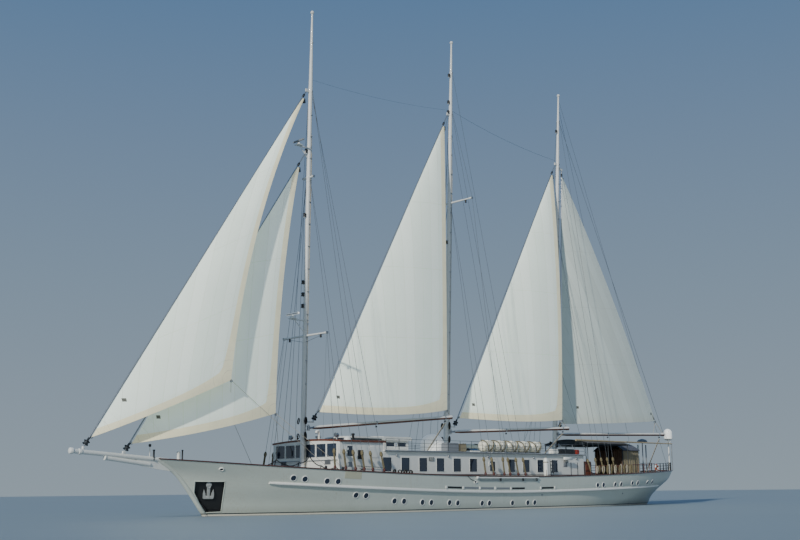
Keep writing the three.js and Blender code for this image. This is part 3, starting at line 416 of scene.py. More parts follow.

# %% [markdown]
# ## Paint, timber, cloth and metal
# The hull is white enamel with a dark boot stripe at the waterline and red-brown antifouling below it, a
# little yellowed where water runs off the strakes. Its white is laid down as a light grey, painted shade, and
# near the waterline it darkens to a grey-green, partly scum and partly a painted reflection of the dark sea.
# Deckhouses are a cleaner white. The rail and roof trim are dark varnished timber and the deck is bleached
# teak with caulked seams.

# %% Painted surfaces
def painted(name, colour, stain, roughness=0.32, streaks=0.35, mottling=0.05, metallic=0.0):
    material, tree, shader = new_material(name)
    base = use(tree, "mottle", Size=0.5, Amount=mottling, Colour=rgb(colour))
    dirt = use(tree, "rain_streaks", Width=0.045, Length=0.8)
    share = maths(tree, "MULTIPLY", dirt.outputs["Mask"], streaks)
    fine = use(tree, "mottle", Size=0.05, Amount=0.04, Colour=base.outputs["Colour"])
    skin = mixed(tree, share, fine.outputs["Colour"], rgb(stain))
    gloss = ramped(tree, base.outputs["Value"], 0.0, 1.0, roughness + 0.12, roughness)
    bump = use(tree, "brushed_bump", Size=0.12, Depth=0.0012)
    finish_with(tree, shader, skin, gloss, bump.outputs["Normal"], metallic, coat=0.15)
    return material


house_paint = painted("house_paint", "e6e6de", "b8ab92", 0.34, 0.3)
roof_paint = painted("roof_paint", "dfdfd6", "aaa493", 0.5, 0.2, 0.08)
spar_paint = painted("spar_paint", "dcdcd6", "a59c8c", 0.36, 0.3, 0.06)
raft_shell = painted("raft_shell", "f3eed8", "c9bd98", 0.42, 0.2)
glowing_dome_shell = painted("glowing_dome_shell", "fbfbf6", "d6d2c2", 0.3, 0.15)
# The dome shell glows a little: painted sunlight that keeps it bright where it lies in the sails' shade.
dome_painted_light = glowing_dome_shell.node_tree.nodes["Principled BSDF"].inputs
dome_painted_light["Emission Color"].default_value = (0.93, 0.95, 0.9, 1.0)
dome_painted_light["Emission Strength"].default_value = 0.2
black_paint = painted("black_paint", "1b1c1e", "34302a", 0.45, 0.3)
grey_paint = painted("grey_paint", "82868a", "5b5247", 0.45, 0.4)
red_paint = painted("red_paint", "8c2f22", "4d1f17", 0.42, 0.3)
hatch_paint = painted("hatch_paint", "b9b79e", "98937a", 0.45, 0.3)
tan_paint = painted("tan_paint", "ad9a76", "6f604a", 0.45, 0.3)
ring_orange = painted("ring_orange", "b8542c", "7d4026", 0.5, 0.2)
block_red = painted("block_red", "54281f", "2e1813", 0.5, 0.3)


def hull_enamel():
    material, tree, shader = new_material("hull_enamel")
    place = object_place(tree)
    parts = put(tree, "ShaderNodeSeparateXYZ", {0: place}).outputs
    height = parts[2]
    side_on = xyz(tree, parts[0], height)
    # The white is laid down as a light grey: painted shade for the hull's side.
    base = use(tree, "mottle", Size=0.9, Amount=0.05, Colour=rgb("c4cabf"))
    dirt = use(tree, "rain_streaks", Width=0.05, Length=0.9)
    share = maths(tree, "MULTIPLY", dirt.outputs["Mask"], 0.42)
    skin = mixed(tree, share, base.outputs["Colour"], rgb("a89a7c"))
    # Near the waterline the white darkens to a grey-green: partly scum, partly a painted reflection of the
    # sea.
    scum_and_sea_reflection = use(tree, "mottle", Size=0.3, Amount=0.5, Colour=rgb("8f8f7c"))
    scum_and_reflection_share = maths(tree, "MULTIPLY", ramped(tree, height, 0.34, 0.07), 0.4, clamp=True)
    skin = mixed(tree, scum_and_reflection_share, skin, scum_and_sea_reflection.outputs["Colour"])
    boot = maths(tree, "COMPARE", height, 0.075)
    boot.node.inputs[2].default_value = 0.018
    skin = mixed(tree, boot, skin, rgb("20262c"))
    skin = mixed(tree, maths(tree, "LESS_THAN", height, 0.06), skin, rgb("d8d2c0"))
    bottom = use(tree, "mottle", Size=0.35, Amount=0.35, Colour=rgb("6b2a22"))
    wet = maths(tree, "LESS_THAN", height, 0.004)
    skin = mixed(tree, wet, skin, bottom.outputs["Colour"])
    plates = put(tree, "ShaderNodeTexBrick", {"Vector": side_on, "Scale": 0.42, "Mortar Size": 0.006,
                                              "Mortar Smooth": 0.6,
                                              "Brick Width": 2.2, "Row Height": 0.42, "Color1": (1, 1, 1, 1),
                                              "Color2": (1, 1, 1, 1), "Mortar": (0, 0, 0, 1)})
    dents = put(tree, "ShaderNodeTexNoise", {"Vector": place, "Scale": 1.1, "Detail": 2.0})
    seams = bumped(tree, plates.outputs["Fac"], 0.25, 0.004, invert=True)
    fair = bumped(tree, dents.outputs[0], 0.35, 0.012, normal=seams)
    gloss = ramped(tree, base.outputs["Value"], 0.0, 1.0, 0.42, 0.26)
    finish_with(tree, shader, skin, gloss, fair, coat=0.25)
    return material


def timber(name, pale, dark, roughness, coat, stretch=(1.5, 22, 22)):
    material, tree, shader = new_material(name)
    wood = use(tree, "timber_grain", Pale=rgb(pale), Dark=rgb(dark), Stretch=stretch)
    worn = use(tree, "mottle", Size=0.3, Amount=0.25, Colour=wood.outputs["Colour"])
    bump = bumped(tree, wood.outputs["Grain"], 0.3, 0.001)
    gloss = ramped(tree, worn.outputs["Value"], 0.0, 1.0, roughness + 0.15, roughness)
    finish_with(tree, shader, worn.outputs["Colour"], gloss, bump, coat=coat)
    return material


def planked_deck():
    material, tree, shader = new_material("deck_teak")
    place = object_place(tree)
    wood = use(tree, "timber_grain", Pale=rgb("b79c74"), Dark=rgb("8a6c49"), Stretch=(1.2, 26, 26))
    plank = put(tree, "ShaderNodeTexBrick", {"Vector": place, "Scale": 1.0, "Mortar Size": 0.0035,
                                             "Mortar Smooth": 0.1,
                                             "Brick Width": 2.4, "Row Height": 0.055, "Color1": (1, 1, 1, 1),
                                             "Color2": (0.82, 0.82, 0.82, 1), "Mortar": (0, 0, 0, 1)})
    toned = mixed(tree, 0.8, wood.outputs["Colour"], plank.outputs["Color"], "MULTIPLY")
    skin = mixed(tree, plank.outputs["Fac"], toned, rgb("1e1a17"))
    finish_with(tree, shader, skin, 0.66, bumped(tree, plank.outputs["Fac"], 0.5, 0.002, invert=True))
    return material


hull_paint = hull_enamel()
rail_timber = timber("rail_timber", "6d3a22", "38190f", 0.3, 0.5)
trim_timber = timber("trim_timber", "8a4a2c", "4c2114", 0.38, 0.3)
boom_timber = timber("boom_timber", "7a4a32", "4a2619", 0.4, 0.3)
deck_teak = planked_deck()
print("paint and timber done")

# %% [markdown]
# Sailcloth reads six distances that the sail mesh carries at each point, in metres: from the leech, the foot,
# the nearest corner and the inner edge of the sun strip, and two from the middle of the nearest dark patch.
# They place the cloth panels, the seams, the corner patches and the strip that shields a rolled sail.

# %% Cloth, metal, glass and rope
PANEL_WIDTH, CROSS_SEAMS = 0.46, 2.9
CORNER_RADIUS, RING_PITCH = 1.02, 0.34
PATCH_HALF = 0.057


def off_middle(tree, counted):
    """How far a point is from the middle of its strip, from 0 to 0.5, where counted grows by 1 a strip."""
    return maths(tree, "ABSOLUTE", maths(tree, "SUBTRACT", maths(tree, "FRACT", counted), 0.5))


def sailcloth(name, pale, dark, through):
    """Sailcloth in two tones; through sets a painted glow that stands in for light through the cloth."""
    material, tree, shader = new_material(name)
    reads = {key: put(tree, "ShaderNodeAttribute", attribute_name=key).outputs["Fac"]
             for key in ("leech_m", "foot_m", "corner_m", "strip_m", "patch_x", "patch_z")}
    panel = maths(tree, "DIVIDE", reads["leech_m"], PANEL_WIDTH)
    along = ramped(tree, off_middle(tree, panel), 0.477, 0.493)
    cross = off_middle(tree, maths(tree, "DIVIDE", reads["foot_m"], CROSS_SEAMS))
    seam = maths(tree, "MAXIMUM", along, ramped(tree, cross, 0.4955, 0.499))
    tone = put(tree, "ShaderNodeTexWhiteNoise", {"W": maths(tree, "FLOOR", panel)},
               noise_dimensions="1D").outputs[0]
    cloth = mixed(tree, tone, rgb(pale), rgb(dark))
    soft = use(tree, "mottle", Size=1.6, Amount=0.06, Colour=cloth)
    skin = mixed(tree, maths(tree, "MULTIPLY", seam, 0.3), soft.outputs["Colour"], rgb("9d9c8a"))
    strip = maths(tree, "LESS_THAN", reads["strip_m"], 0.0)
    sun = use(tree, "mottle", Size=0.7, Amount=0.16, Colour=rgb("f4e8bc"))
    skin = mixed(tree, maths(tree, "MULTIPLY", strip, 0.78), skin, sun.outputs["Colour"])
    rings = off_middle(tree, maths(tree, "DIVIDE", reads["corner_m"], RING_PITCH))
    near_corner = maths(tree, "LESS_THAN", reads["corner_m"], CORNER_RADIUS)
    patch = maths(tree, "MULTIPLY", near_corner, ramped(tree, rings, 0.47, 0.49))
    skin = mixed(tree, maths(tree, "MULTIPLY", patch, 0.3), skin, rgb("8e8c78"))
    grime = maths(tree, "MULTIPLY", ramped(tree, reads["foot_m"], 0.5, 0.0), 0.22, clamp=True)
    skin = mixed(tree, grime, skin, rgb("b9ad8c"))
    off_x, off_z = (maths(tree, "ABSOLUTE", reads[key]) for key in ("patch_x", "patch_z"))
    dark_patch = maths(tree, "LESS_THAN", maths(tree, "MAXIMUM", off_x, off_z), PATCH_HALF)
    skin = mixed(tree, maths(tree, "MULTIPLY", dark_patch, 0.92), skin, rgb("3c382e"))
    weave = use(tree, "woven", Thread=0.006, Depth=0.0006)
    raised = maths(tree, "ADD", maths(tree, "MULTIPLY", seam, 0.6), patch)
    finish_with(tree, shader, skin, 0.78, bumped(tree, raised, 0.5, 0.004, normal=weave.outputs["Normal"]))
    # The cloth glows in its own colour, alike on its lit and shaded sides: painted light for sunlight through
    # it.
    tree.links.new(skin, shader.inputs["Emission Color"])
    shader.inputs["Emission Strength"].default_value = through
    shader.inputs["Sheen Weight"].default_value = 0.12
    return material


def canvas(name, colour, fade):
    material, tree, shader = new_material(name)
    base = use(tree, "mottle", Size=0.5, Amount=0.3, Colour=rgb(colour))
    sun = use(tree, "rain_streaks", Width=0.3, Length=0.5)
    skin = mixed(tree, maths(tree, "MULTIPLY", sun.outputs["Mask"], 0.5), base.outputs["Colour"], rgb(fade))
    weave = use(tree, "woven", Thread=0.005, Depth=0.0008)
    finish_with(tree, shader, skin, 0.85, weave.outputs["Normal"])
    shader.inputs["Sheen Weight"].default_value = 0.2
    return material


def metal(name, colour, tarnish, roughness, metallic=0.9):
    material, tree, shader = new_material(name)
    base = use(tree, "mottle", Size=0.08, Amount=0.2, Colour=rgb(colour))
    age = use(tree, "rain_streaks", Width=0.03, Length=0.25)
    skin = mixed(tree, maths(tree, "MULTIPLY", age.outputs["Mask"], 0.6), base.outputs["Colour"], rgb(tarnish))
    gloss = ramped(tree, base.outputs["Value"], 0.0, 1.0, roughness + 0.15, roughness)
    bump = use(tree, "brushed_bump", Size=0.02, Depth=0.0006)
    finish_with(tree, shader, skin, gloss, bump.outputs["Normal"], metallic)
    return material


def tinted_glass():
    material, tree, shader = new_material("window_glass")
    base = use(tree, "mottle", Size=0.6, Amount=0.5, Colour=rgb("1c2c44"))
    spots = use(tree, "mottle", Size=0.02, Amount=0.3, Colour=base.outputs["Colour"])
    gloss = ramped(tree, spots.outputs["Value"], 0.0, 1.0, 0.12, 0.04)
    finish_with(tree, shader, spots.outputs["Colour"], gloss, None, 0.0, coat=0.6)
    shader.inputs["Specular IOR Level"].default_value = 0.7
    return material


def laid_rope(name, colour, dark):
    material, tree, shader = new_material(name)
    place = object_place(tree)
    lay = put(tree, "ShaderNodeTexWave", {"Vector": place, "Scale": 26.0, "Distortion": 1.2, "Detail": 2.0},
              wave_type="BANDS", bands_direction="DIAGONAL").outputs["Fac"]
    skin = mixed(tree, lay, rgb(dark), rgb(colour))
    worn = use(tree, "mottle", Size=0.2, Amount=0.3, Colour=skin)
    finish_with(tree, shader, worn.outputs["Colour"], 0.85, bumped(tree, lay, 0.6, 0.004))
    return material


# The sails glow with painted light; the mizzen sail takes a greyer cloth with no glow.
sail_cloth = sailcloth("sail_cloth", "f4fdef", "ebf6e7", 0.21)
greyer_cloth = sailcloth("greyer_sail_cloth", "d6dfd6", "ccd5cc", 0.0)
awning_cloth = canvas("awning_cloth", "2b2420", "4f4238")
blue_canvas = canvas("blue_canvas", "2a3348", "4d566a")
tan_canvas = canvas("tan_canvas", "8d8266", "aaa080")
brown_canvas = canvas("brown_canvas", "6b5443", "8c7259")
steel = metal("steel", "a9adb0", "6f6459", 0.32)
pale_steel = metal("pale_steel", "b7b9b6", "77746c", 0.55, 0.35)
dark_steel = metal("dark_steel", "4c5053", "3a2f28", 0.42)
bronze = metal("bronze", "9a6c34", "4f5c45", 0.35)
glass = tinted_glass()
pale_rope = laid_rope("pale_rope", "cfc8b4", "94897a")
tan_rope = laid_rope("tan_rope", "938766", "5f563c")
dark_rope = laid_rope("dark_rope", "35322c", "1c1a17")
wire = metal("rigging_wire", "7d8285", "4a443e", 0.4, 0.8)
print("materials:", len(bpy.data.materials))

# %% [markdown]
# ## Studio
# A plain pale floor lies at the waterline, so the ship floats on it with its bottom below. The background
# goes from pale at the horizon to a soft blue above. The main light comes from ahead and a little to port, 26
# degrees up: the edge of each sail then falls as a shadow on the next sail, as in the photograph.

# %% Floor, sky and light
FLOOR = [(-260, -420, 0), (120, -420, 0), (120, 200, 0), (-260, 200, 0)]
floor_finish, tree, shader = new_material("floor_finish")
wash = use(tree, "mottle", Size=9.0, Amount=0.05, Colour=rgb("8f9da3"))
finish_with(tree, shader, wash.outputs["Colour"], 0.55)
floor_mesh = bpy.data.meshes.new("floor")
floor_mesh.from_pydata(FLOOR, [], [[0, 1, 2, 3]])
floor_mesh.materials.append(floor_finish)
floor = bpy.data.objects.new("floor", floor_mesh)
bpy.context.scene.collection.objects.link(floor)

world = bpy.data.worlds.new("studio")
bpy.context.scene.world = world
world.use_nodes = True
sky = world.node_tree
sky.nodes.clear()
outward = put(sky, "ShaderNodeTexCoord").outputs["Generated"]
height = put(sky, "ShaderNodeSeparateXYZ", {0: outward}).outputs[2]
blue = mixed(sky, ramped(sky, height, 0.0, 0.5), rgb("a2b2bd"), rgb("557fb0"))
light = put(sky, "ShaderNodeBackground", {"Color": blue, "Strength": 0.8})
sky.links.new(light.outputs[0], put(sky, "ShaderNodeOutputWorld").inputs[0])


def sunlight(name, towards, strength, angle, colour):
    data = bpy.data.lights.new(name, "SUN")
    data.energy, data.angle, data.color = strength, math.radians(angle), colour
    made = bpy.data.objects.new(name, data)
    made.rotation_euler = Vector((0, 0, -1)).rotation_difference(Vector(towards)).to_euler()
    bpy.context.scene.collection.objects.link(made)


sunlight("main_light", (-1.0, -0.34, -0.52), 3.1, 2.0, (1.0, 0.98, 0.91))
sunlight("side_fill", (-0.45, -1.0, -0.5), 0.3, 60, (0.97, 1.0, 0.97))
print("studio ready")

# %% [markdown]
# ## Hull form
# The hull is drawn by waterlines: each level has its height, its ends, its half breadth and how it narrows
# forward and aft. A real yard fairs such lines with a batten, and here a cubic through the levels does the
# same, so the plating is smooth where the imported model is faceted.

# %% Hull lines
HALF_BEAM, BULWARK_HEIGHT, BULWARK_THICK = 4.9, 0.92, 0.14
FORE_SHOULDER, AFT_SHOULDER = 6.0, -8.0
STATIONS, DECK_CROWN = 110, 0.08
FIXED, SHARE, BELOW = "fixed", "share", "below"
LEVELS = [
    (FIXED, -3.5, 12.5, -12.0, 0.35, 2.0, 1.0, 2.0, 1.0),
    (FIXED, -3.25, 16.4, -16.5, 1.9, 2.0, 1.2, 2.0, 1.2),
    (FIXED, -2.5, 19.4, -20.5, 3.35, 2.0, 1.2, 2.0, 1.2),
    (FIXED, -1.5, 21.3, -24.2, 4.2, 2.0, 1.15, 2.1, 1.15),
    (FIXED, -0.7, 22.5, -26.8, 4.5, 2.0, 1.1, 2.2, 1.05),
    (FIXED, 0.0, 23.3, -28.3, 4.65, 2.0, 1.1, 2.2, 1.0),
    (SHARE, 0.28, 24.1, -29.1, 4.75, 2.2, 1.05, 2.4, 0.85),
    (SHARE, 0.52, 24.8, -30.0, 4.83, 2.4, 0.95, 2.7, 0.7),
    (BELOW, BULWARK_HEIGHT, 25.6, -30.8, 4.88, 2.5, 0.9, 2.9, 0.58),
    (BELOW, 0.0, 27.05, -31.3, HALF_BEAM, 2.6, 0.85, 3.0, 0.5),
]
DECK_LEVEL, RAIL_LEVEL = LEVELS[8], LEVELS[9]
CAP_THICK, CAP_LIP = 0.08, 0.05


def sheer(x):
    forward, aft = max(0.0, x + 5) / 32, max(0.0, -5 - x) / 27
    return 2.62 + 1.17 * forward ** 2.2 + 0.72 * aft ** 1.6


def deck_z(x, y=0.0):
    return sheer(x) - BULWARK_HEIGHT + DECK_CROWN * max(0.0, 1 - abs(y) / HALF_BEAM)


def half_breadth(level, x):
    _, _, stem, stern, half, fore_power, fore_full, aft_power, aft_full = level
    fore = min(1.0, max(0.0, (x - FORE_SHOULDER) / (stem - FORE_SHOULDER)))
    aft = min(1.0, max(0.0, (AFT_SHOULDER - x) / (AFT_SHOULDER - stern)))
    return half * (1 - fore ** fore_power) ** fore_full * (1 - aft ** aft_power) ** aft_full


def level_row(level, inset=0.0, lift=0.0, wider=0.0):
    kind, value, stem, stern = level[:4]
    stem, stern = stem + wider, stern - wider
    level = level[:2] + (stem, stern, level[4] + wider) + level[5:]
    row = []
    for station in range(STATIONS + 1):
        share = 0.5 - 0.5 * math.cos(math.pi * station / STATIONS)
        x = stern + inset + share * (stem - stern - 2.6 * inset)
        outer = stern + share * (stem - stern)
        end = station in (0, STATIONS)
        y = 0.0 if end else max(0.002, half_breadth(level, outer) - inset)
        z = value if kind == FIXED else value * sheer(x) if kind == SHARE else sheer(x) - value
        row.append((x, y, z + lift))
    return row


def faired(rows, per_span):
    """Rows filled in between by a cubic through the given ones."""
    points = np.array(rows)
    gaps = np.linalg.norm(np.diff(points, axis=0), axis=2).mean(axis=1)
    reach = np.concatenate([[0], np.cumsum(gaps)])
    slope = np.gradient(points, reach, axis=0)
    out = []
    for k, gap in enumerate(gaps):
        for step in range(per_span):
            t = step / per_span
            out.append((1 + 2 * t) * (1 - t) ** 2 * points[k] + t * (1 - t) ** 2 * gap * slope[k]
                       + t * t * (3 - 2 * t) * points[k + 1] + t * t * (t - 1) * gap * slope[k + 1])
    out.append(points[-1])
    return [[tuple(p) for p in row] for row in out]


outer = faired([level_row(level) for level in LEVELS[:9]] + [level_row(RAIL_LEVEL, lift=-CAP_THICK)], 4)
keel_line = [(x, 0.0, z) for x, _, z in outer[0]]
inner = [level_row(RAIL_LEVEL, BULWARK_THICK, -CAP_THICK), level_row(DECK_LEVEL, BULWARK_THICK, 0.0)]
deck_edge = inner[1]
deck_rows = []
for share in (1, 0.8, 0.6, 0.4, 0.2, 0):
    crown = DECK_CROWN / HALF_BEAM * (1 - share * share)
    deck_rows.append([(x, y * share, z + crown * y) for x, y, z in deck_edge])
hull_shape = Shape()
for side in HANDS.values():
    hull_shape.add(side(lofted([keel_line] + outer)), 0)
    hull_shape.add(side(lofted([outer[-1], inner[0]])), 0)
    hull_shape.add(side(lofted(inner)), 1)
    hull_shape.add(side(lofted(deck_rows)), 2)
plating = piece("hull_plating", hull_shape, None, [hull_paint, house_paint, deck_teak], angle=50)
print("plating faces", len(plating.data.polygons))

# %% [markdown]
# The anchors are housed in a pocket in each bow. The pocket is cut with a boolean, as a fabricator would cut
# the plating and weld in a box. Its cut faces are black, painted shade for the inside of the pocket. A round
# bar frames its edge, and is laid on later with the anchors.

# %% Anchor pockets
POCKET_PLACE = Vector((23.35, 0.62, 1.25))
POCKET_AXES = [Vector((0.866, -0.5, 0)), Vector((0.227, 0.393, 0.891)), Vector((-0.4455, -0.7716, 0.454))]
POCKET_DEPTH, CUT_OUTSIDE = 0.25, 1.0
POCKET_LINE = [(0.95, 1.11), (-0.96, 1.11), (-0.82, -1.1), (0.27, -1.1), (0.97, 0.28)]


def onto_bow(part):
    corners = []
    for corner in part[0]:
        point = POCKET_PLACE.copy()
        for axis, value in zip(POCKET_AXES, corner):
            point = point + axis * value
        corners.append(tuple(point))
    return corners, part[1]


cut_form = slab(POCKET_LINE, POCKET_DEPTH + CUT_OUTSIDE, 2, (POCKET_DEPTH - CUT_OUTSIDE) / 2)
cutter_shape = Shape()
for side in HANDS.values():
    cutter_shape.add(side(onto_bow(cut_form)), 3)
cutter = piece("pocket_cutter", cutter_shape, None,
               [hull_paint, house_paint, deck_teak, black_paint])
# The faces of the cut take black paint: painted shade inside the pocket.
plating.data.materials.append(black_paint)
cut = plating.modifiers.new("pockets", "BOOLEAN")
cut.operation, cut.solver, cut.object = "DIFFERENCE", "EXACT", cutter
graph = bpy.context.evaluated_depsgraph_get()
cut_mesh = bpy.data.meshes.new_from_object(plating.evaluated_get(graph))
plating.modifiers.clear()
plating.data = cut_mesh
bpy.data.objects.remove(cutter)
MADE.pop("pocket_cutter")
plating.data.shade_smooth()
plating.data.set_sharp_from_angle(angle=math.radians(50))
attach(plating, "ship")
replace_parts(plating, "hull", "bulwark_port", "bulwark_starboard")
print("plating after the pockets", len(cut_mesh.polygons))

# %% Rails, strakes and stem
skin_tree = BVHTree.FromObject(plating, bpy.context.evaluated_depsgraph_get())


def on_plating(x, z, side=1):
    """The point of the ship's side at a length and height, with its outward direction, in ship metres."""
    hit, normal, _, _ = skin_tree.ray_cast(Vector((x, 9 * side, z)) * SHIP, Vector((0, -side, 0)))
    return hit / SHIP, normal


for side_name, side in HANDS.items():
    ring = [(0.0, -0.085), (-0.02, -0.045), (0.0, -0.012), (0.02, 0.0), (0.22, 0.0), (0.25, -0.015),
            (0.26, -0.045), (0.25, -0.085)]
    rows = [level_row(RAIL_LEVEL, inset, drop, CAP_LIP) for inset, drop in ring]
    cap = Shape().add(side(lofted(rows, closed=True)))
    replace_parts(piece(f"varnished_rail_{side_name}", cap, "ship", [rail_timber], angle=60),
                f"cap_rail_{side_name}")

STRAKE_FORE, STRAKE_AFT = 20.05, -26.6


def strake_z(x):
    forward, aft = max(0.0, x + 3) / 24.6, max(0.0, -3 - x) / 23.6
    return 1.36 + 0.88 * forward ** 1.7 + 0.42 * aft ** 1.7


def strake(side):
    rows = []
    steps = 90
    for k in range(steps + 1):
        x = STRAKE_AFT + (STRAKE_FORE - STRAKE_AFT) * k / steps
        z = strake_z(x)
        point, _ = on_plating(x, z)
        taper = min(1.0, (STRAKE_FORE - x) / 0.5 + 0.7, (x - STRAKE_AFT) / 1.5 + 0.3)
        section = ((-0.04, -0.12), (0.1, -0.1), (0.16, -0.06), (0.17, 0.0), (0.16, 0.03), (0.12, 0.08),
                   (-0.04, 0.13))
        rows.append([(x, side * (point.y + out * taper), z + up * taper) for out, up in section])
    corners, faces = lofted([list(column) for column in zip(*rows)], closed=True)
    width = steps + 1
    count = len(rows[0])
    faces.append([k * width for k in range(count)])
    faces.append([k * width + steps for k in range(count)][::-1])
    return corners, faces


for side_name, side in SIGNS.items():
    shape = Shape().add(strake(side))
    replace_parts(piece(f"fender_strake_{side_name}", shape, "ship", [house_paint], angle=45),
                f"rubbing_strake_{side_name}")
print("rails and strakes done")

# %% [markdown]
# ## Portholes and freeing ports
# The portholes are all alike, a round light in a painted rim, so a Geometry Nodes group sets one on each
# given point of the side, turned to face outward. Its radius and the thickness of its rim are inputs of the
# group.

# %% Node group helpers
FINISH, COUNT = "NodeSocketMaterial", "NodeSocketInt"


def new_growth(name, inputs):
    """A Geometry Nodes group with the named inputs. Returns it and the sockets that it is given."""
    group = bpy.data.node_groups.new(name, "GeometryNodeTree")
    for end in ("INPUT", "OUTPUT"):
        group.interface.new_socket("Geometry", in_out=end, socket_type="NodeSocketGeometry")
    for label, kind in inputs.items():
        group.interface.new_socket(label, in_out="INPUT", socket_type=kind)
    return group, put(group, "NodeGroupInput").outputs


def grown(group, kind, inputs=None, **settings):
    """Adds one geometry node and returns its first output."""
    return put(group, "GeometryNode" + kind, inputs, **settings).outputs[0]


def swept(group, line, radius, sides):
    """A round bar along a curve."""
    cut = grown(group, "CurvePrimitiveCircle", {"Radius": radius, "Resolution": sides})
    return grown(group, "CurveToMesh", {"Curve": line, "Profile Curve": cut})


def finished(group, part, finish):
    return grown(group, "SetMaterial", {"Geometry": part, "Material": finish})


def joined(group, *parts):
    join = put(group, "GeometryNodeJoinGeometry")
    for part in parts:
        group.links.new(part, join.inputs[0])
    return join.outputs[0]


def facing_out(group):
    """The direction that each given point carries."""
    return grown(group, "InputNamedAttribute", {"Name": "facing"}, data_type="FLOAT_VECTOR")


def wire_up(group, part, finish=None):
    """Realizes the part, gives it its finish and leads it to the group's output."""
    part = grown(group, "RealizeInstances", {0: part})
    if finish is not None:
        part = finished(group, part, finish)
    group.links.new(part, put(group, "NodeGroupOutput").inputs[0])


def grow(name, group, points, edges, values, body, facing=None, angle=40):
    """Runs a node group on points or edges in ship metres and keeps what it makes as one plain piece."""
    seed_mesh = bpy.data.meshes.new(name + "_seed")
    seed_mesh.from_pydata([Vector(p) * SHIP for p in points], edges, [])
    if facing is not None:
        held = seed_mesh.attributes.new("facing", "FLOAT_VECTOR", "POINT")
        held.data.foreach_set("vector", [v for way in facing for v in way])
    seed = bpy.data.objects.new(name + "_seed", seed_mesh)
    bpy.context.scene.collection.objects.link(seed)
    modifier = seed.modifiers.new("grow", "NODES")
    modifier.node_group = group
    for item in group.interface.items_tree:
        if item.in_out == "INPUT" and item.name in values:
            modifier[item.identifier] = values[item.name]
    graph = bpy.context.evaluated_depsgraph_get()
    mesh = bpy.data.meshes.new_from_object(seed.evaluated_get(graph))
    bpy.data.objects.remove(seed)
    mesh.shade_smooth()
    mesh.set_sharp_from_angle(angle=math.radians(angle))
    made = bpy.data.objects.new(name, mesh)
    bpy.context.scene.collection.objects.link(made)
    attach(made, body)
    MADE[name] = len(mesh.polygons)
    return made


LIGHT_RADIUS, LIGHT_RIM = 0.108, 0.017
lights, given = new_growth("portholes", {"Radius": FLOAT, "Rim": FLOAT, "Rim Finish": FINISH,
                                         "Glass Finish": FINISH})
ring = grown(lights, "CurvePrimitiveCircle", {"Radius": given["Radius"], "Resolution": 20})
rim = finished(lights, swept(lights, ring, given["Rim"], 6), given["Rim Finish"])
deep = maths(lights, "MULTIPLY", given["Rim"], 1.1)
pane = grown(lights, "MeshCylinder", {"Vertices": 20, "Radius": given["Radius"], "Depth": deep})
pane = finished(lights, pane, given["Glass Finish"])
aim = put(lights, "FunctionNodeAlignRotationToVector", {"Vector": facing_out(lights)}, axis="Z").outputs[0]
spots = grown(lights, "MeshToPoints", {"Mesh": given["Geometry"]})
light = joined(lights, rim, pane)
wire_up(lights, grown(lights, "InstanceOnPoints", {"Points": spots, "Instance": light, "Rotation": aim}))

PORTHOLES = [(18.53, 2.46), (17.7, 2.39), (16.03, 2.24), (15.18, 2.22), (13.51, 1.27), (12.67, 1.23),
             (10.13, 0.82), (9.24, 0.79), (7.44, 0.69), (6.52, 0.66), (4.58, 0.62), (3.68, 0.59), (0.93, 0.53),
             (0.09, 0.52),
             (-2.66, 0.5), (-4.55, 0.49), (-5.42, 0.48), (-13.88, 1.83), (-14.76, 1.85), (-16.6, 1.88),
             (-17.58, 1.9), (-19.54, 1.99), (-20.55, 2.0), (-22.53, 2.05), (-23.58, 2.1)]
spots, ways = [], []
for side in (1, -1):
    for x, z in PORTHOLES:
        point, normal = on_plating(x, z, side)
        spots.append(point)
        ways.append(normal)
values = {"Radius": LIGHT_RADIUS, "Rim": LIGHT_RIM, "Rim Finish": house_paint, "Glass Finish": glass}
grow("portholes", lights, spots, [], values, "ship", ways)
print("portholes", len(spots))

# %% [markdown]
# ## Masts and spars
# Each mast is one tapered tube of light alloy that leans aft a little more from the foremast to the mizzen.
# At the hounds a band takes the stays and above it a thinner topmast runs up to a ball cap. It's turned
# here round the leaning axis, with a welded band at each height where wire or a fitting is made fast.

# %% Mast lines
MASTS = {
    "fore": (14.91, 4.72, 0.0215, 1.95, 32.2, 38.45),
    "main": (-0.17, 5.57, 0.0444, 4.45, 33.9, 40.35),
    "mizzen": (-14.21, 5.26, 0.0758, 1.75, 32.3, 39.07),
}
BANDS = {
    "fore": (6.6, 12.4, 14.0, 24.7, 25.0, 27.4, 31.9, 35.9),
    "main": (6.75, 12.9, 25.2, 25.62, 31.5, 33.6, 37.5),
    "mizzen": (6.8, 13.2, 24.4, 31.7, 32.0, 36.4),
}


def on_mast(name, z, ahead=0.0, y=0.0):
    x, level, rake = MASTS[name][:3]
    return Vector((x - rake * (z - level) + ahead, y, z))


def mast_radius(name, z):
    base, hounds, top = MASTS[name][3:]
    if z < hounds:
        return 0.19 - 0.025 * (z - base) / (hounds - base)
    return 0.16 - 0.085 * (z - hounds) / (top - hounds)


def mast_body(name):
    rake, base, hounds, top = MASTS[name][2:]
    stretch = math.hypot(1, rake)
    profile = [(0.28, 0.0), (0.28, 0.05), (0.2, 0.09)]
    stops = sorted([base + 0.12, hounds - 0.01, hounds + 0.01, top - 0.12]
                   + [z + d for z in BANDS[name] for d in (-0.08, -0.07, 0.07, 0.08)])
    for z in stops:
        swell = 0.018 if any(abs(z - band) < 0.075 for band in BANDS[name]) else 0.0
        profile.append((mast_radius(name, z) + swell, (z - base) * stretch))
    profile += [(0.12, (top - 0.09 - base) * stretch), (0.15, (top + 0.02 - base) * stretch),
                (0.1, (top + 0.13 - base) * stretch), (0.0, (top + 0.16 - base) * stretch)]
    return turned(profile, on_mast(name, base), (-rake, 0, 1), 32)


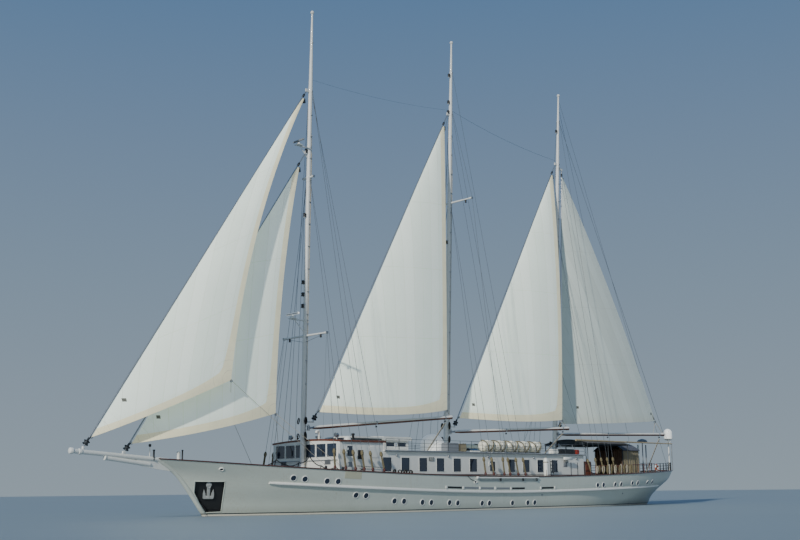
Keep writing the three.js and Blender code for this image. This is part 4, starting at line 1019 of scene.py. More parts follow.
def ring_band(inside, outside, low, high, place, axis=(0, 0, 1), sides=24):
    """A round band with a bore, closed on itself."""
    bodies = turned([(inside, low), (outside, low), (outside, high), (inside, high)], place, axis, sides)
    corners, faces = bodies[0], bodies[1][:-2]
    faces += [[3 * sides + k, 3 * sides + (k + 1) % sides, (k + 1) % sides, k] for k in range(sides)]
    return corners, faces


def lamp(place, r=0.12, high=0.3):
    """A signal lamp: a base, a dark body and a domed cap."""
    profile = [(0.6 * r, 0.0), (r, 0.03), (r, 0.28 * high), (0.8 * r, 0.3 * high), (0.8 * r, 0.7 * high),
               (r, 0.72 * high), (r, 0.85 * high), (0.5 * r, high), (0.0, high)]
    return turned(profile, place, (0, 0, 1), 14)


def spreader(shape, name, z, half):
    """A tapered bar across the mast with a white shoe at each end."""
    root = on_mast(name, z)
    path = [root + Vector((0, half * (k / 8 - 1), 0)) for k in range(17)]
    radii = [0.055 + 0.035 * (1 - abs(k / 8 - 1)) for k in range(17)]
    shape.add(tube(path, radii, 12), 0)
    for side in (-1, 1):
        tip = root + Vector((0, side * half, 0))
        shape.add(tube([tip - Vector((0, side * 0.28, 0)), tip - Vector((0, side * 0.02, 0)), tip],
                       [0.085, 0.09, 0.05], 12), 0)
        shape.add(block(tip.x - 0.12, tip.x + 0.12, tip.y - 0.03, tip.y + 0.03, tip.z - 0.09, tip.z + 0.09), 1)
        if half > 1:
            low = root + Vector((0, side * half * 0.72, -0.3))
            shape.add(lamp(low, 0.09, 0.24), 2)
    return shape


def gooseneck(shape, name, pin_x, z):
    inside = on_mast(name, z).x - 0.1
    for low in (z - 0.1824, z + 0.1224):
        shape.add(block(pin_x - 0.1, inside, -0.1, 0.1, low, low + 0.06, 0.012), 0)
    shape.add(tube([(pin_x, 0, z - 0.2), (pin_x, 0, z + 0.2)], 0.038, 14), 1)
    shape.add(turned([(0.07, 0.0), (0.07, 0.05), (0.0, 0.07)], (pin_x, 0, z + 0.185)), 1)
    return shape


LUGS = {
    "outer_jib": ((32.25, 32.42, 4.05, 4.46), (14.25, 14.82, 31.8, 32.05)),
    "inner_jib": ((29.38, 29.6, 3.85, 4.2), (14.35, 14.88, 26.8, 27.05)),
    "main_staysail": ((13.86, 14.75, 6.5, 6.6), (-1.45, -0.95, 33.5, 33.75)),
    "mizzen_staysail": ((-1.22, -0.3, 6.6, 6.7), (-16.25, -15.76, 31.9, 32.15)),
    "mizzen_sail": ((-15.22, -14.4, 6.75, 6.85), (-16.92, -16.2, 31.5, 31.75)),
}


def lug(shape, sail, end):
    x0, x1, z0, z1 = LUGS[sail][end]
    return shape.add(block(x0, x1, -0.05, 0.05, z0, z1, 0.015), 0)


# %% Masts
RADARS = {"upper": (27.55, 1.05, 1.3), "lower": (14.2, 1.2, 1.5)}
GOOSENECKS = {"fore": (14.38, 6.1), "main": (-0.68, 6.24), "mizzen": (-14.78, 6.4)}
SPREADERS = {"fore": ((12.84, 2.5), (25.0, 0.6)), "main": ((25.62, 2.62),), "mizzen": ()}
MAST_LUGS = {"fore": (("main_staysail", 0), ("outer_jib", 1), ("inner_jib", 1)),
             "main": (("mizzen_staysail", 0), ("main_staysail", 1)),
             "mizzen": (("mizzen_sail", 0), ("mizzen_staysail", 1), ("mizzen_sail", 1))}
AHEAD_LAMPS = {"fore": (16.69, 15.77, 14.9, 21.86, 26.9), "main": (37.08, 34.59, 33.67, 22.0),
               "mizzen": (35.2, 20.5)}
for name in MASTS:
    shape = Shape().add(mast_body(name), 0)
    gooseneck(shape, name, *GOOSENECKS[name])
    for z, half in SPREADERS[name]:
        spreader(shape, name, z, half)
    for sail, end in MAST_LUGS[name]:
        lug(shape, sail, end)
    for z in AHEAD_LAMPS[name]:
        root = on_mast(name, z, mast_radius(name, z) - 0.03)
        shape.add(block(root.x, root.x + 0.24, -0.05, 0.05, root.z - 0.03, root.z + 0.01, 0.008), 0)
        shape.add(lamp(root + Vector((0.16, 0, 0.01))), 2)
    for z in BANDS[name]:
        for side in (-1, 1):
            root = on_mast(name, z, 0, side * (mast_radius(name, z) + 0.01))
            near, far = sorted((root.y, root.y + side * 0.07))
            shape.add(block(root.x - 0.05, root.x + 0.05, near, far, z - 0.03, z + 0.03, 0.01), 1)
    if name == "fore":
        for z, reach, _ in RADARS.values():
            root = on_mast(name, z)
            x = root.x + reach
            shape.add(block(root.x + 0.1, x + 0.25, -0.05, 0.05, z - 0.28, z - 0.18, 0.015), 0)
            shape.add(block(x - 0.25, x + 0.25, -0.25, 0.25, z - 0.2, z - 0.15, 0.015), 0)
            shape.add(tube([(root.x + 0.12, 0, z - 1.1), (x - 0.1, 0, z - 0.2)], 0.03, 8), 0)
            shape.add(turned([(0.15, -0.16), (0.16, -0.08), (0.13, 0.0)], (x, 0, z)), 0)
    mast = piece(f"{name}_mast_tube", shape, "ship", [spar_paint, steel, black_paint], angle=35)
    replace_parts(mast, {"fore": "foremast", "main": "mainmast", "mizzen": "mizzenmast"}[name])
for level, (z, reach, length) in RADARS.items():
    x = on_mast("fore", z).x + reach
    shape = Shape().add(turned([(0.06, 0.002), (0.06, 0.09), (0.045, 0.1)], (x, 0, z)), 0)
    shape.add(block(x - 0.055, x + 0.055, -length / 2, length / 2, z + 0.085, z + 0.235, 0.04, 3), 0)
    shape.add(block(x + 0.03, x + 0.058, -length / 2 + 0.05, length / 2 - 0.05, z + 0.12, z + 0.2, 0.01), 1)
    # The upper scanner is grey, painted shade for the shade it sits in; the lower takes the glowing dome
    # shell, painted light.
    scanner = piece(f"scanner_{level}", shape, f"{level}_radar",
                    [grey_paint if level == "upper" else glowing_dome_shell, grey_paint])
    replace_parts(scanner, f"radar_scanner_{level}")
print("masts", [MADE[f"{name}_mast_tube"] for name in MASTS])

# %% [markdown]
# Steps run up both sides of each mast. One step is a short flat bar, and a Geometry Nodes group sets it along
# the mast's line at an even spacing, first on one side and then on the other.

# %% Mast steps
TREAD_THICK, TREAD_OUT = 0.012, 0.105
treads, given = new_growth("mast_steps", {"Spacing": FLOAT, "Width": FLOAT, "Reach": FLOAT, "Finish": FINISH})
line = grown(treads, "MeshToCurve", {"Mesh": given["Geometry"]})
spaced = grown(treads, "ResampleCurve", {"Curve": line, "Length": given["Spacing"]}, mode="LENGTH")
tread = grown(treads, "MeshCube", {"Size": xyz(treads, given["Width"], given["Reach"], TREAD_THICK)})
odd = maths(treads, "MODULO", grown(treads, "InputIndex"), 2.0)
side = maths(treads, "SUBTRACT", maths(treads, "MULTIPLY", odd, 2.0), 1.0)
shift = xyz(treads, y=maths(treads, "MULTIPLY", side, TREAD_OUT))
shifted = grown(treads, "SetPosition", {"Geometry": spaced, "Offset": shift})
wire_up(treads, grown(treads, "InstanceOnPoints", {"Points": shifted, "Instance": tread}), given["Finish"])
for name in MASTS:
    low, high = on_mast(name, 8.4), on_mast(name, MASTS[name][4] - 1.4)
    values = {"Spacing": 0.42, "Width": 0.07, "Reach": 0.06, "Finish": steel}
    grow(f"{name}_mast_steps", treads, [low, high], [(0, 1)], values, "ship")
print("steps", [MADE[f"{name}_mast_steps"] for name in MASTS])

# %% [markdown]
# ## Booms
# A boom is an alloy tube, painted white above and brown below. Its gooseneck eye turns on the mast's pin, and
# blocks hang under its end for the sheet. It's drawn as a tube along its own line, and the lower faces take
# the brown by the way they face.

# %% Booms
BOOM_ENDS = {"fore": (1.15, 1.9, 7.26), "main": (-13.51, 2.2, 6.79), "mizzen": (-28.3, 2.36, 6.64)}


def along_boom(name, distance, drop=0.0):
    pin_x, z = GOOSENECKS[name]
    end = Vector(BOOM_ENDS[name])
    pin = Vector((pin_x, 0, z))
    reach = math.hypot(end.x - pin.x, end.y)
    return pin + (end - pin) * (distance / reach) - Vector((0, 0, drop))


def boom_reach(name):
    end = BOOM_ENDS[name]
    return math.hypot(end[0] - GOOSENECKS[name][0], end[1])


def rigging_block(shape, place, size=0.12, slot=2):
    """A pulley block: two cheeks, a sheave and a becket."""
    x, y, z = place
    for side in (-1, 1):
        shape.add(turned([(0.0, 0.0), (size * 0.8, 0.0), (size, 0.02), (size * 0.7, 0.035), (0.0, 0.035)],
                         (x, y + side * 0.02, z), (0, side, 0), 12), slot)
    shape.add(turned([(0.0, -0.02), (size * 0.75, -0.02), (size * 0.75, 0.02), (0.0, 0.02)], (x, y, z),
                     (0, 1, 0), 12), 1)
    shape.add(tube([(x, y, z + size * 0.6), (x, y, z + size * 1.5)], 0.018, 8), 1)
    return shape


for name in BOOM_ENDS:
    reach = boom_reach(name)
    stops = [(0.42, 0.1), (0.9, 0.13), (1.0, 0.14), (reach - 0.32, 0.14), (reach - 0.3, 0.158),
             (reach - 0.03, 0.158), (reach, 0.12)]
    shape = Shape().add(tube([along_boom(name, d) for d, _ in stops], [r for _, r in stops], 24), 0)
    pin = along_boom(name, 0)
    shape.add(ring_band(0.042, 0.11, -0.12, 0.12, pin), 1)
    shape.add(tube([along_boom(name, 0.08), along_boom(name, 0.45)], 0.07, 14), 1)
    for d in (reach * 0.45, reach - 0.7):
        shape.add(tube([along_boom(name, d - 0.05), along_boom(name, d + 0.05)], 0.148, 24), 1)
        rigging_block(shape, along_boom(name, d, 0.28), 0.07)
    boom = piece(f"{name}_boom_tube", shape, f"{name}_boom",
                 [spar_paint, steel, black_paint, boom_timber])
    for face in boom.data.polygons:
        if face.material_index == 0 and face.normal.z < -0.05:
            face.material_index = 3
    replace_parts(boom, f"{name}_boom")
print("booms", [MADE[f"{name}_boom_tube"] for name in BOOM_ENDS])

# %% [markdown]
# ## Furling stays and sails
# Every sail rolls round an alloy foil on its own stay: a drum with a line at the foot and a swivel at the
# head. A sail is cut from panels of woven cloth, so it's drawn as a fine bellied skin with both faces closed,
# and it carries the distances that its finish needs.

# %% Sail lines
CAMBER, HEADBOARD, CLOTH = 0.085, 0.22, 0.016
STRIP_WIDTH, CLEW_WIDENING, CLEW_FADE = 0.5, 0.8, 1.6
SAILS = {
    "outer_jib": ((31.97, 0, 4.96), (15.17, 0, 31.19), (23.1, 2.5, 8.9), 1.15, 0.2, 0.0, 4.4, 31.9, None),
    "inner_jib": ((29.14, 0, 4.65), (15.61, 0, 25.62), (18.95, 2.0, 6.88), 0.6, 0.2, 0.15, 4.12, 26.9, None),
    "main_staysail": ((13.57, 0, 7.3), (-0.38, 0, 32.39), (1.8, 2.0, 7.81), 0.1, 0.15, 0.35, 6.58, 33.6,
                      "fore"),
    "mizzen_staysail": ((-1.53, 0, 7.4), (-15.17, 0, 30.81), (-12.63, 2.2, 7.51), 0.0, 0.35, 0.25, 6.68, 32.0,
                        "main"),
    "mizzen_sail": ((-15.13, 0, 7.34), (-16.77, 0, 30.81), (-26.98, 2.3, 7.9), -0.1, 0.35, 0.1, 6.83, 31.6,
                    "mizzen"),
}
SAIL_ROWS, SAIL_COLUMNS = 64, 40
PATCHES = {"outer_jib": [(29.92, 0.56, 7.38)], "inner_jib": [(27.36, 0.52, 6.4)],
           "main_staysail": [(12.02, 0.59, 8.43)], "mizzen_staysail": [(-2.95, 0.53, 8.53)],
           "mizzen_sail": [(-16.68, 0.89, 8.86), (-26.35, 2.3, 8.56), (-26.85, 2.29, 8.1)]}


def cloth_sheet(grid, thick=0.012 / SHIP):
    """A closed thin cloth over a grid of points: one face each side and a narrow edge between them."""
    grid = np.array(grid, float)
    across = np.cross(np.gradient(grid, axis=0), np.gradient(grid, axis=1))
    across /= np.maximum(np.linalg.norm(across, axis=2, keepdims=True), 1e-9)
    rows, columns = grid.shape[:2]
    corners = [tuple(p) for way in (0.5, -0.5) for row in grid + across * thick * way for p in row]
    back = rows * columns
    faces = []
    for r in range(rows - 1):
        for c in range(columns - 1):
            k = r * columns + c
            faces.append([k, k + columns, k + columns + 1, k + 1])
            faces.append([back + k, back + k + 1, back + k + columns + 1, back + k + columns])
    border = list(range(columns)) + [r * columns + columns - 1 for r in range(1, rows)]
    border += [(rows - 1) * columns + c for c in range(columns - 2, -1, -1)]
    border += [r * columns for r in range(rows - 2, 0, -1)]
    for a, b in zip(border, border[1:] + border[:1]):
        faces.append([a, b, back + b, back + a])
    return corners, faces


def on_luff(name, z):
    tack, head = Vector(SAILS[name][0]), Vector(SAILS[name][1])
    return tack.lerp(head, (z - tack.z) / (head.z - tack.z))


def sail_point(name, up, across):
    tack, head, clew, hollow, sag, foot_round = SAILS[name][:6]
    luff = Vector(tack).lerp(Vector(head), up)
    leech = Vector(clew).lerp(Vector(head) - Vector((HEADBOARD, 0, 0)), up)
    bow = 4 * up * (1 - up)
    chord = abs(luff.x - leech.x)
    leech += Vector((bow * hollow, bow * sag, 0))
    point = luff.lerp(leech, across)
    point.y += CAMBER * chord * 4 * across ** 0.8 * (1 - across ** 0.8)
    point.z -= foot_round * 4 * across * (1 - across) * (1 - up) ** 6
    return point


def sail_skin(name):
    """A sail's cloth, and the distances that it is marked by."""
    ups = [(r / SAIL_ROWS) ** 0.95 for r in range(SAIL_ROWS + 1)]
    acrosses = [0.012 + 0.988 * c / SAIL_COLUMNS for c in range(SAIL_COLUMNS + 1)]
    grid = np.array([[sail_point(name, u, a) for a in acrosses] for u in ups])
    corners, faces = cloth_sheet(grid, CLOTH)
    wide, tall = SAIL_COLUMNS + 1, SAIL_ROWS + 1
    ups_all = np.repeat(ups, wide)
    acrosses_all = np.tile(acrosses, tall)
    flat_points = grid.reshape(-1, 3)
    luff = np.array([sail_point(name, u, 0) for u in ups])
    leech = np.array([sail_point(name, u, 1) for u in ups])
    chord = np.repeat(np.linalg.norm(luff - leech, axis=1), wide)
    ends = [np.array(SAILS[name][k]) for k in (0, 1, 2)]
    leech_length = np.linalg.norm(ends[1] - ends[2])
    marks = {"leech_m": (1 - acrosses_all) * chord, "foot_m": ups_all * leech_length,
             "corner_m": np.min([np.linalg.norm(flat_points - end, axis=1) for end in ends], axis=0)}
    clew_gap = np.linalg.norm(flat_points - ends[2], axis=1)
    width = STRIP_WIDTH + CLEW_WIDENING * np.exp(-clew_gap / CLEW_FADE)
    marks["strip_m"] = np.minimum(marks["leech_m"] - width, marks["foot_m"] - width)
    if name == "mizzen_sail":
        marks["strip_m"] = np.ones(len(flat_points))
    offsets = flat_points[:, None, :] - np.array(PATCHES[name])[None]
    nearest = np.abs(offsets).max(axis=2).argmin(axis=1)
    offsets = offsets[np.arange(len(nearest)), nearest]
    marks["patch_x"], marks["patch_z"] = offsets[:, 0], offsets[:, 2]
    return corners, faces, {key: np.tile(value, 2) * SHIP for key, value in marks.items()}


def away_from_luff(name):
    """Two points of a boomed sail: its tack, and one square to the luff from it, at half of its width."""
    tack, head, clew = (Vector(SAILS[name][k]) for k in (0, 1, 2))
    way = (head - tack).normalized()
    out = Vector((clew.x - tack.x, 0, clew.z - tack.z))
    out -= way * out.dot(way)
    return tack * SHIP, (tack + out) * SHIP


for name, line in SAILS.items():
    corners, faces, marks = sail_skin(name)
    shape = Shape().add((corners, faces), 0)
    sail = piece(f"{name}_cloth", shape, None,
                 [greyer_cloth if name == "mizzen_sail" else sail_cloth], angle=60, weld=0)
    for key, values in marks.items():
        sail.data.attributes.new(key, "FLOAT", "POINT").data.foreach_set("value", values.astype(np.float32))
    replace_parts(sail, name)
    foot_z, head_z, boom = line[6:]
    foil = Shape().add(tube([on_luff(name, foot_z + 0.02), on_luff(name, head_z)], 0.045, 16), 0)
    axis = on_luff(name, 20) - on_luff(name, 10)
    foil.add(turned([(0.09, 0.0), (0.2, 0.02), (0.2, 0.05), (0.13, 0.07), (0.12, 0.14), (0.13, 0.2),
                     (0.2, 0.22), (0.2, 0.25),
                     (0.08, 0.3), (0.06, 0.5)], on_luff(name, foot_z + 0.16), axis), 1)
    coils = [(0.125, 0.075), (0.15, 0.095), (0.13, 0.115), (0.155, 0.135), (0.13, 0.155), (0.15, 0.175),
             (0.125, 0.195)]
    foil.add(turned(coils, on_luff(name, foot_z + 0.16), axis), 2)
    foil.add(turned([(0.06, 0.0), (0.09, 0.04), (0.09, 0.26), (0.06, 0.3), (0.05, 0.34)],
                    on_luff(name, line[1][2] + 0.1), axis, 16), 1)
    stay = piece(f"{name}_furler", foil, "ship", [steel, dark_steel, wire])
    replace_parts(stay, f"{name}_stay")
    if boom:
        start, end = away_from_luff(name)
        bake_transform(sail)
    else:
        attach(sail, "ship")

# %% [markdown]
# ## Standing rigging
# Wire shrouds hold each mast sideways. A wire comes down from a band on the mast, in two cases over the shoe
# of the spreader, and ends in a rope tackle that sets it up tight, from a tan block down to a red one at the
# rail. The wires stand straight, so each is a thin tube between its ends.

# %% Shrouds and tackles
SHROUDS = {
    "fore": ((15.36, 4.14, 12.4), (14.46, 4.26, 24.7), (13.62, 4.35, 24.7), (12.87, 4.42, 31.9),
             (12.1, 4.48, 31.9), (11.05, 4.55, 31.4)),
    "main": ((0.32, 4.65, 25.2), (-0.65, 4.65, 25.2), (-1.91, 4.65, 33.9), (-2.62, 4.65, 31.5),
             (-3.63, 4.65, 33.6), (-4.53, 4.65, 37.5)),
    "mizzen": ((-13.5, 4.55, 13.2), (-14.4, 4.5, 24.4), (-15.3, 4.5, 24.4), (-16.2, 4.45, 31.7),
               (-17.1, 4.4, 36.4)),
}
OVER_SPREADER = {("fore", 0): 12.84, ("main", 2): 25.62}
WIRE_RADIUS, ROPE_RADIUS, TACKLE = 0.014, 0.026, 1.5


def tackle(shape, low, high):
    """A rope tackle between two blocks: four parts of rope side by side."""
    low, high = Vector(low), Vector(high)
    way = (high - low).normalized()
    shape.add(turned([(0.0, -0.14), (0.09, -0.1), (0.11, 0.0), (0.08, 0.1), (0.0, 0.14)], low + way * 0.16,
                     way, 10), 1)
    shape.add(turned([(0.0, -0.2), (0.1, -0.14), (0.12, 0.0), (0.07, 0.16), (0.0, 0.2)], high - way * 0.2, way,
                     10), 2)
    for across in (-0.06, -0.02, 0.02, 0.06):
        shift = Vector((across, 0, 0))
        shape.add(tube([low + way * 0.16 + shift, high - way * 0.16 + shift], ROPE_RADIUS, 6), 2)
    return shape


for name, lines in SHROUDS.items():
    shape = Shape()
    for k, (x, y, high) in enumerate(lines):
        for side in (-1, 1):
            foot = Vector((x, side * y, sheer(x) - 0.02))
            root = on_mast(name, high, 0, side * (mast_radius(name, high) + 0.05))
            path = [root]
            via = OVER_SPREADER.get((name, k))
            if via:
                half = dict(SPREADERS[name])[via]
                path.append(on_mast(name, via, 0, side * (half + 0.03)))
            way = (path[-1] - foot).normalized()
            top_block = foot + way * TACKLE
            path.append(top_block)
            for a, b in zip(path, path[1:]):
                shape.add(tube([a, b], WIRE_RADIUS, 6), 0)
            tackle(shape, foot, top_block)
            shape.add(block(x - 0.05, x + 0.05, foot.y - 0.02, foot.y + 0.02, foot.z - 0.5, foot.z + 0.05,
                            0.01), 3)
    piece(f"{name}_shrouds", shape, "ship", [wire, block_red, tan_rope, steel], angle=50)

stay_shape = Shape()
stay_shape.add(tube(sagging(on_mast("main", 34.03, -0.2), on_mast("mizzen", 32.36, 0.2), 0.35, 16), 0.009, 6))
stay_shape.add(tube(sagging(on_mast("fore", 32.9, -0.2), on_mast("main", 34.0, 0.2), 0.3, 16), 0.006, 6))
stay_shape.add(tube([on_mast("fore", 12.8, 0, 2.45), (14.6, 1.9, 5.2)], WIRE_RADIUS * 0.6, 5))
stay_shape.add(tube([on_mast("fore", 12.8, 0, -2.45), (14.9, -4.1, 3.1)], WIRE_RADIUS * 0.6, 5))
for side in (-1, 1):
    stay_shape.add(tube([on_mast("mizzen", 38.4, 0, side * 0.1), (-29.4, side * 1.9, sheer(-29.4))],
                        WIRE_RADIUS, 6))
piece("triatic_and_backstays", stay_shape, "ship", [wire], angle=50)
print("rigging", {name: count for name, count in MADE.items() if "shroud" in name})

# %% [markdown]
# ## Running rigging
# The sheets hold the sails in: the jibs' run from the clew to a block at the rail, and each boom's runs
# from a block under the boom to a bar on the deckhouse roof, or on the after deck for the mizzen. A boom's
# sheet is rope that crosses its joint, between the ship and the boom.

# %% Sheets and halyards
def stretched_line(name, start, end, radius=0.024, sides=6, parts=1, material=None):
    """Rope between the ship and a boom, in one or more parts side by side."""
    shape = Shape()
    start, end = Vector(start), Vector(end)
    for k in range(parts):
        shift = Vector(((k - (parts - 1) / 2) * 0.06, 0, 0))
        shape.add(tube([start.lerp(end, step / 12) + shift for step in range(13)], radius, sides))
    rope = piece(name, shape, None, [material or pale_rope], angle=60)
    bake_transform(rope)
    return rope


SHEET_FEET = {"fore": (2.6, 0.55, 4.66), "main": (-12.2, 0.5, 4.66), "mizzen": (-27.2, 0.5, 2.4)}
for name, foot in SHEET_FEET.items():
    stretched_line(f"{name}_sheet", foot, along_boom(name, boom_reach(name) - 0.7, 0.42), parts=3)
stretched_line("mizzen_topping_lift", on_mast("mizzen", 36.4, -0.15),
               along_boom("mizzen", boom_reach("mizzen") - 0.1, -0.14), 0.018, material=wire)

gear = Shape()
for name, (x, y, z) in SHEET_FEET.items():
    rigging_block(gear, (x, y, z - 0.14), 0.1)
    gear.add(block(x - 0.2, x + 0.2, y - 0.9, y + 0.9, z - 0.3, z - 0.22, 0.02), 1)
for name in ("outer_jib", "inner_jib"):
    clew = Vector(SAILS[name][2])
    lead = {"outer_jib": (16.2, 4.15), "inner_jib": (14.72, 4.22)}[name]
    for side in (1, -1):
        low = Vector((lead[0], side * lead[1], sheer(lead[0]) + 0.18))
        path = [clew, clew.lerp(low, 0.5) - Vector((0, 0, 0.05)), low]
        if side < 0:
            path = [clew, Vector((clew.x - 1.6, 0.3, clew.z - 2.2)), low]
        gear.add(tube(path, 0.014, 6), 0)
        rigging_block(gear, low - Vector((0, 0, 0.08)), 0.09)
for name in MASTS:
    for k, y in enumerate((-0.27, -0.2, 0.2, 0.27)):
        high = MASTS[name][4] - 0.8 - 1.5 * k
        low = MASTS[name][3] + 1.5
        gear.add(tube([on_mast(name, high, -0.12, y * 0.7), on_mast(name, low, -0.05, y)], 0.014, 5), 0)
piece("running_rigging", gear, "ship", [pale_rope, steel, black_paint], angle=50)

# %% [markdown]
# A clew is a steel ring pressed into the corner of the sail, and where the sail has a boom it's lashed to its
# end with rope. At the tack and the head a short dark strap holds the sail to its stay.

# %% Clew rings and tack straps
for name, line in SAILS.items():
    boom = line[8]
    tack, head, clew = (Vector(line[k]) for k in (0, 1, 2))
    shape = Shape()
    centre = clew + Vector((-0.02, 0.0, -0.06))
    shape.add(ring_band(0.05, 0.1, -0.03, 0.03, centre, (0.1, 1, 0)), 0)
    if boom:
        under = along_boom(boom, boom_reach(boom) - 0.25, -0.16)
        shape.add(tube([centre, centre.lerp(under, 0.5), under], 0.024, 6), 1)
        shape.add(tube([centre, (centre.x + 0.25, *along_boom(boom, boom_reach(boom) - 1.0, -0.15)[1:])], 0.02,
                       6), 1)
    piece(f"{name}_clew", shape, f"{boom}_boom" if boom else "ship", [steel, pale_rope])
    shape = Shape()
    shape.add(tube([on_luff(name, tack.z + 0.05) + Vector((-0.12, 0, 0.02)), on_luff(name, tack.z - 0.2)],
                   0.03, 8), 1)
    shape.add(ring_band(0.05, 0.09, -0.025, 0.025, on_luff(name, tack.z + 0.06) + Vector((-0.14, 0, 0)),
                        (0, 1, 0)), 0)
    top = on_luff(name, head.z + 0.02)
    shape.add(slab([(top.x - 0.03, top.z), (top.x - 0.3, top.z), (top.x - 0.34, top.z - 0.35),
                    (top.x - 0.02, top.z - 0.45)],
                   0.03, 1, 0.0), 1)
    piece(f"{name}_tack", shape, "ship", [steel, dark_steel])
print("clews done")

# %% [markdown]
# ## Houses
# The deckhouses are steel boxes welded to the deck. Their packed walls, doors and two large roofs stay and
# take a finish, and what a yard would add afterwards goes on top: window frames, gutters, handrails, grilles
# and lamps. The small shelter gets a new top.

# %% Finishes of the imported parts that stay
STAYING = [
    (house_paint, ("deckhouse_walls_fore", "deckhouse_walls_aft", "wheelhouse_walls", "shelter_walls",
                   "deckhouse_door_port", "deckhouse_door_starboard", "wheelhouse_door_port",
                   "wheelhouse_door_starboard")),
    (roof_paint, ("deckhouse_roof",)),
    (trim_timber, ("wheelhouse_roof",)),
    (glass, ("deckhouse_glass_port", "deckhouse_glass_starboard", "wheelhouse_glass")),
    (dark_steel, ("awning_frame",)),
    (hull_paint, ("keel", "rudder")),
]
for material, nodes in STAYING:
    for node in nodes:
        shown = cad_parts[node]
        shown.data.materials.clear()
        shown.data.materials.append(material)
print("packed parts with a finish", sum(len(nodes) for _, nodes in STAYING))

# %% Window frames
frames, given = new_growth("window_frames", {"Width": FLOAT, "Height": FLOAT, "Corner": FLOAT, "Rim": FLOAT,
                                             "Finish": FINISH})
outline = grown(frames, "CurvePrimitiveQuadrilateral", {"Width": given["Width"], "Height": given["Height"]})
rounded = grown(frames, "FilletCurve", {"Curve": outline, "Radius": given["Corner"], "Count": 4}, mode="POLY")
bead = swept(frames, rounded, given["Rim"], 6)
facing = facing_out(frames)
across = put(frames, "ShaderNodeVectorMath", {0: facing, 1: (0.0, 0.0, 1.0)},
             operation="CROSS_PRODUCT").outputs[0]
aim = put(frames, "FunctionNodeAxesToRotation", {0: facing, 1: across}, primary_axis="Z", secondary_axis="X")
spots = grown(frames, "MeshToPoints", {"Mesh": given["Geometry"]})
placed = grown(frames, "InstanceOnPoints", {"Points": spots, "Instance": bead, "Rotation": aim.outputs[0]})
wire_up(frames, placed, given["Finish"])

HOUSE_HALF, WHEEL_FORE = 3.78, 14.64
SIDE_WINDOWS = [10.06 - 1.855 * k for k in range(6)] + [-3.79 - 1.855 * k for k in range(4)]
FRONT_WINDOWS = [(k - 2.5) * 1.17 for k in range(6)]


def framed(name, points, ways, width, height, corner=0.04, rim=0.016, body="ship", material=None):
    values = {"Width": width * SHIP, "Height": height * SHIP, "Corner": corner * SHIP, "Rim": rim * SHIP,
              "Finish": material or house_paint}
    return grow(name, frames, points, [], values, body, ways)


shape = Shape()
for side in (-1, 1):
    for x in SIDE_WINDOWS:
        shape.add(block(x - 0.43, x + 0.43, side * HOUSE_HALF - 0.004, side * HOUSE_HALF + 0.004, 2.93, 3.94,
                        0.003))
for y in FRONT_WINDOWS:
    shape.add(block(WHEEL_FORE - 0.004, WHEEL_FORE + 0.004, y - 0.51, y + 0.51, 3.96, 4.88, 0.003))
piece("flush_panes", shape, "ship", [glass])
points = [(x, side * (HOUSE_HALF + 0.006), 3.435) for x in SIDE_WINDOWS for side in (1, -1)]
framed("deckhouse_window_frames", points, [(0, math.copysign(1, p[1]), 0) for p in points], 0.88, 1.03)
points = [(WHEEL_FORE + 0.006, y, 4.42) for y in FRONT_WINDOWS]
framed("front_window_frames", points, [(1, 0, 0)] * 6, 1.05, 0.95)
SHELTER_HALF, SHELTER_WINDOWS = 1.55, (6.4, 7.6)
points = [(x, side * (SHELTER_HALF + 0.006), 4.93) for x in SHELTER_WINDOWS for side in (1, -1)]
framed("shelter_window_frames", points, [(0, math.copysign(1, p[1]), 0) for p in points], 0.9, 0.5)
for side_name, side in SIGNS.items():
    y = side * (HOUSE_HALF - 0.024)
    framed(f"saloon_door_rim_{side_name}", [(-1.47, y, 3.375)], [(0, side, 0)], 0.5, 0.72,
           body=f"deckhouse_door_{side_name}")
    framed(f"bridge_door_rim_{side_name}", [(13.67, y, 4.34)], [(0, side, 0)], 0.4, 0.69,
           body=f"wheelhouse_door_{side_name}")
    for name, (x0, x1, z0, z1) in {"deckhouse": (-1.72, -1.22, 3.0, 3.75),
                                   "wheelhouse": (13.47, 13.87, 3.98, 4.7)}.items():
        pane = Shape().add(block(x0 - 0.05, x1 + 0.05, side * HOUSE_HALF - 0.026, side * HOUSE_HALF + 0.003,
                                 z0, z1, 0.003))
        door, low = f"{name}_door_{side_name}", z0 - 0.75
        piece(f"{name}_door_pane_{side_name}", pane, door, [glass])
        kick = Shape().add(block(x0, x1, side * HOUSE_HALF - 0.006, side * HOUSE_HALF + 0.006, low, low + 0.35,
                                 0.01))
        kick.add(turned([(0.03, 0.0), (0.035, 0.02), (0.0, 0.03)],
                        (x0 - 0.06, side * (HOUSE_HALF + 0.004), low + 0.62), (0, side, 0), 12))
        piece(f"{name}_door_kickplate_{side_name}", kick, door, [steel])
print("frames", [MADE[k] for k in MADE if "frames" in k])

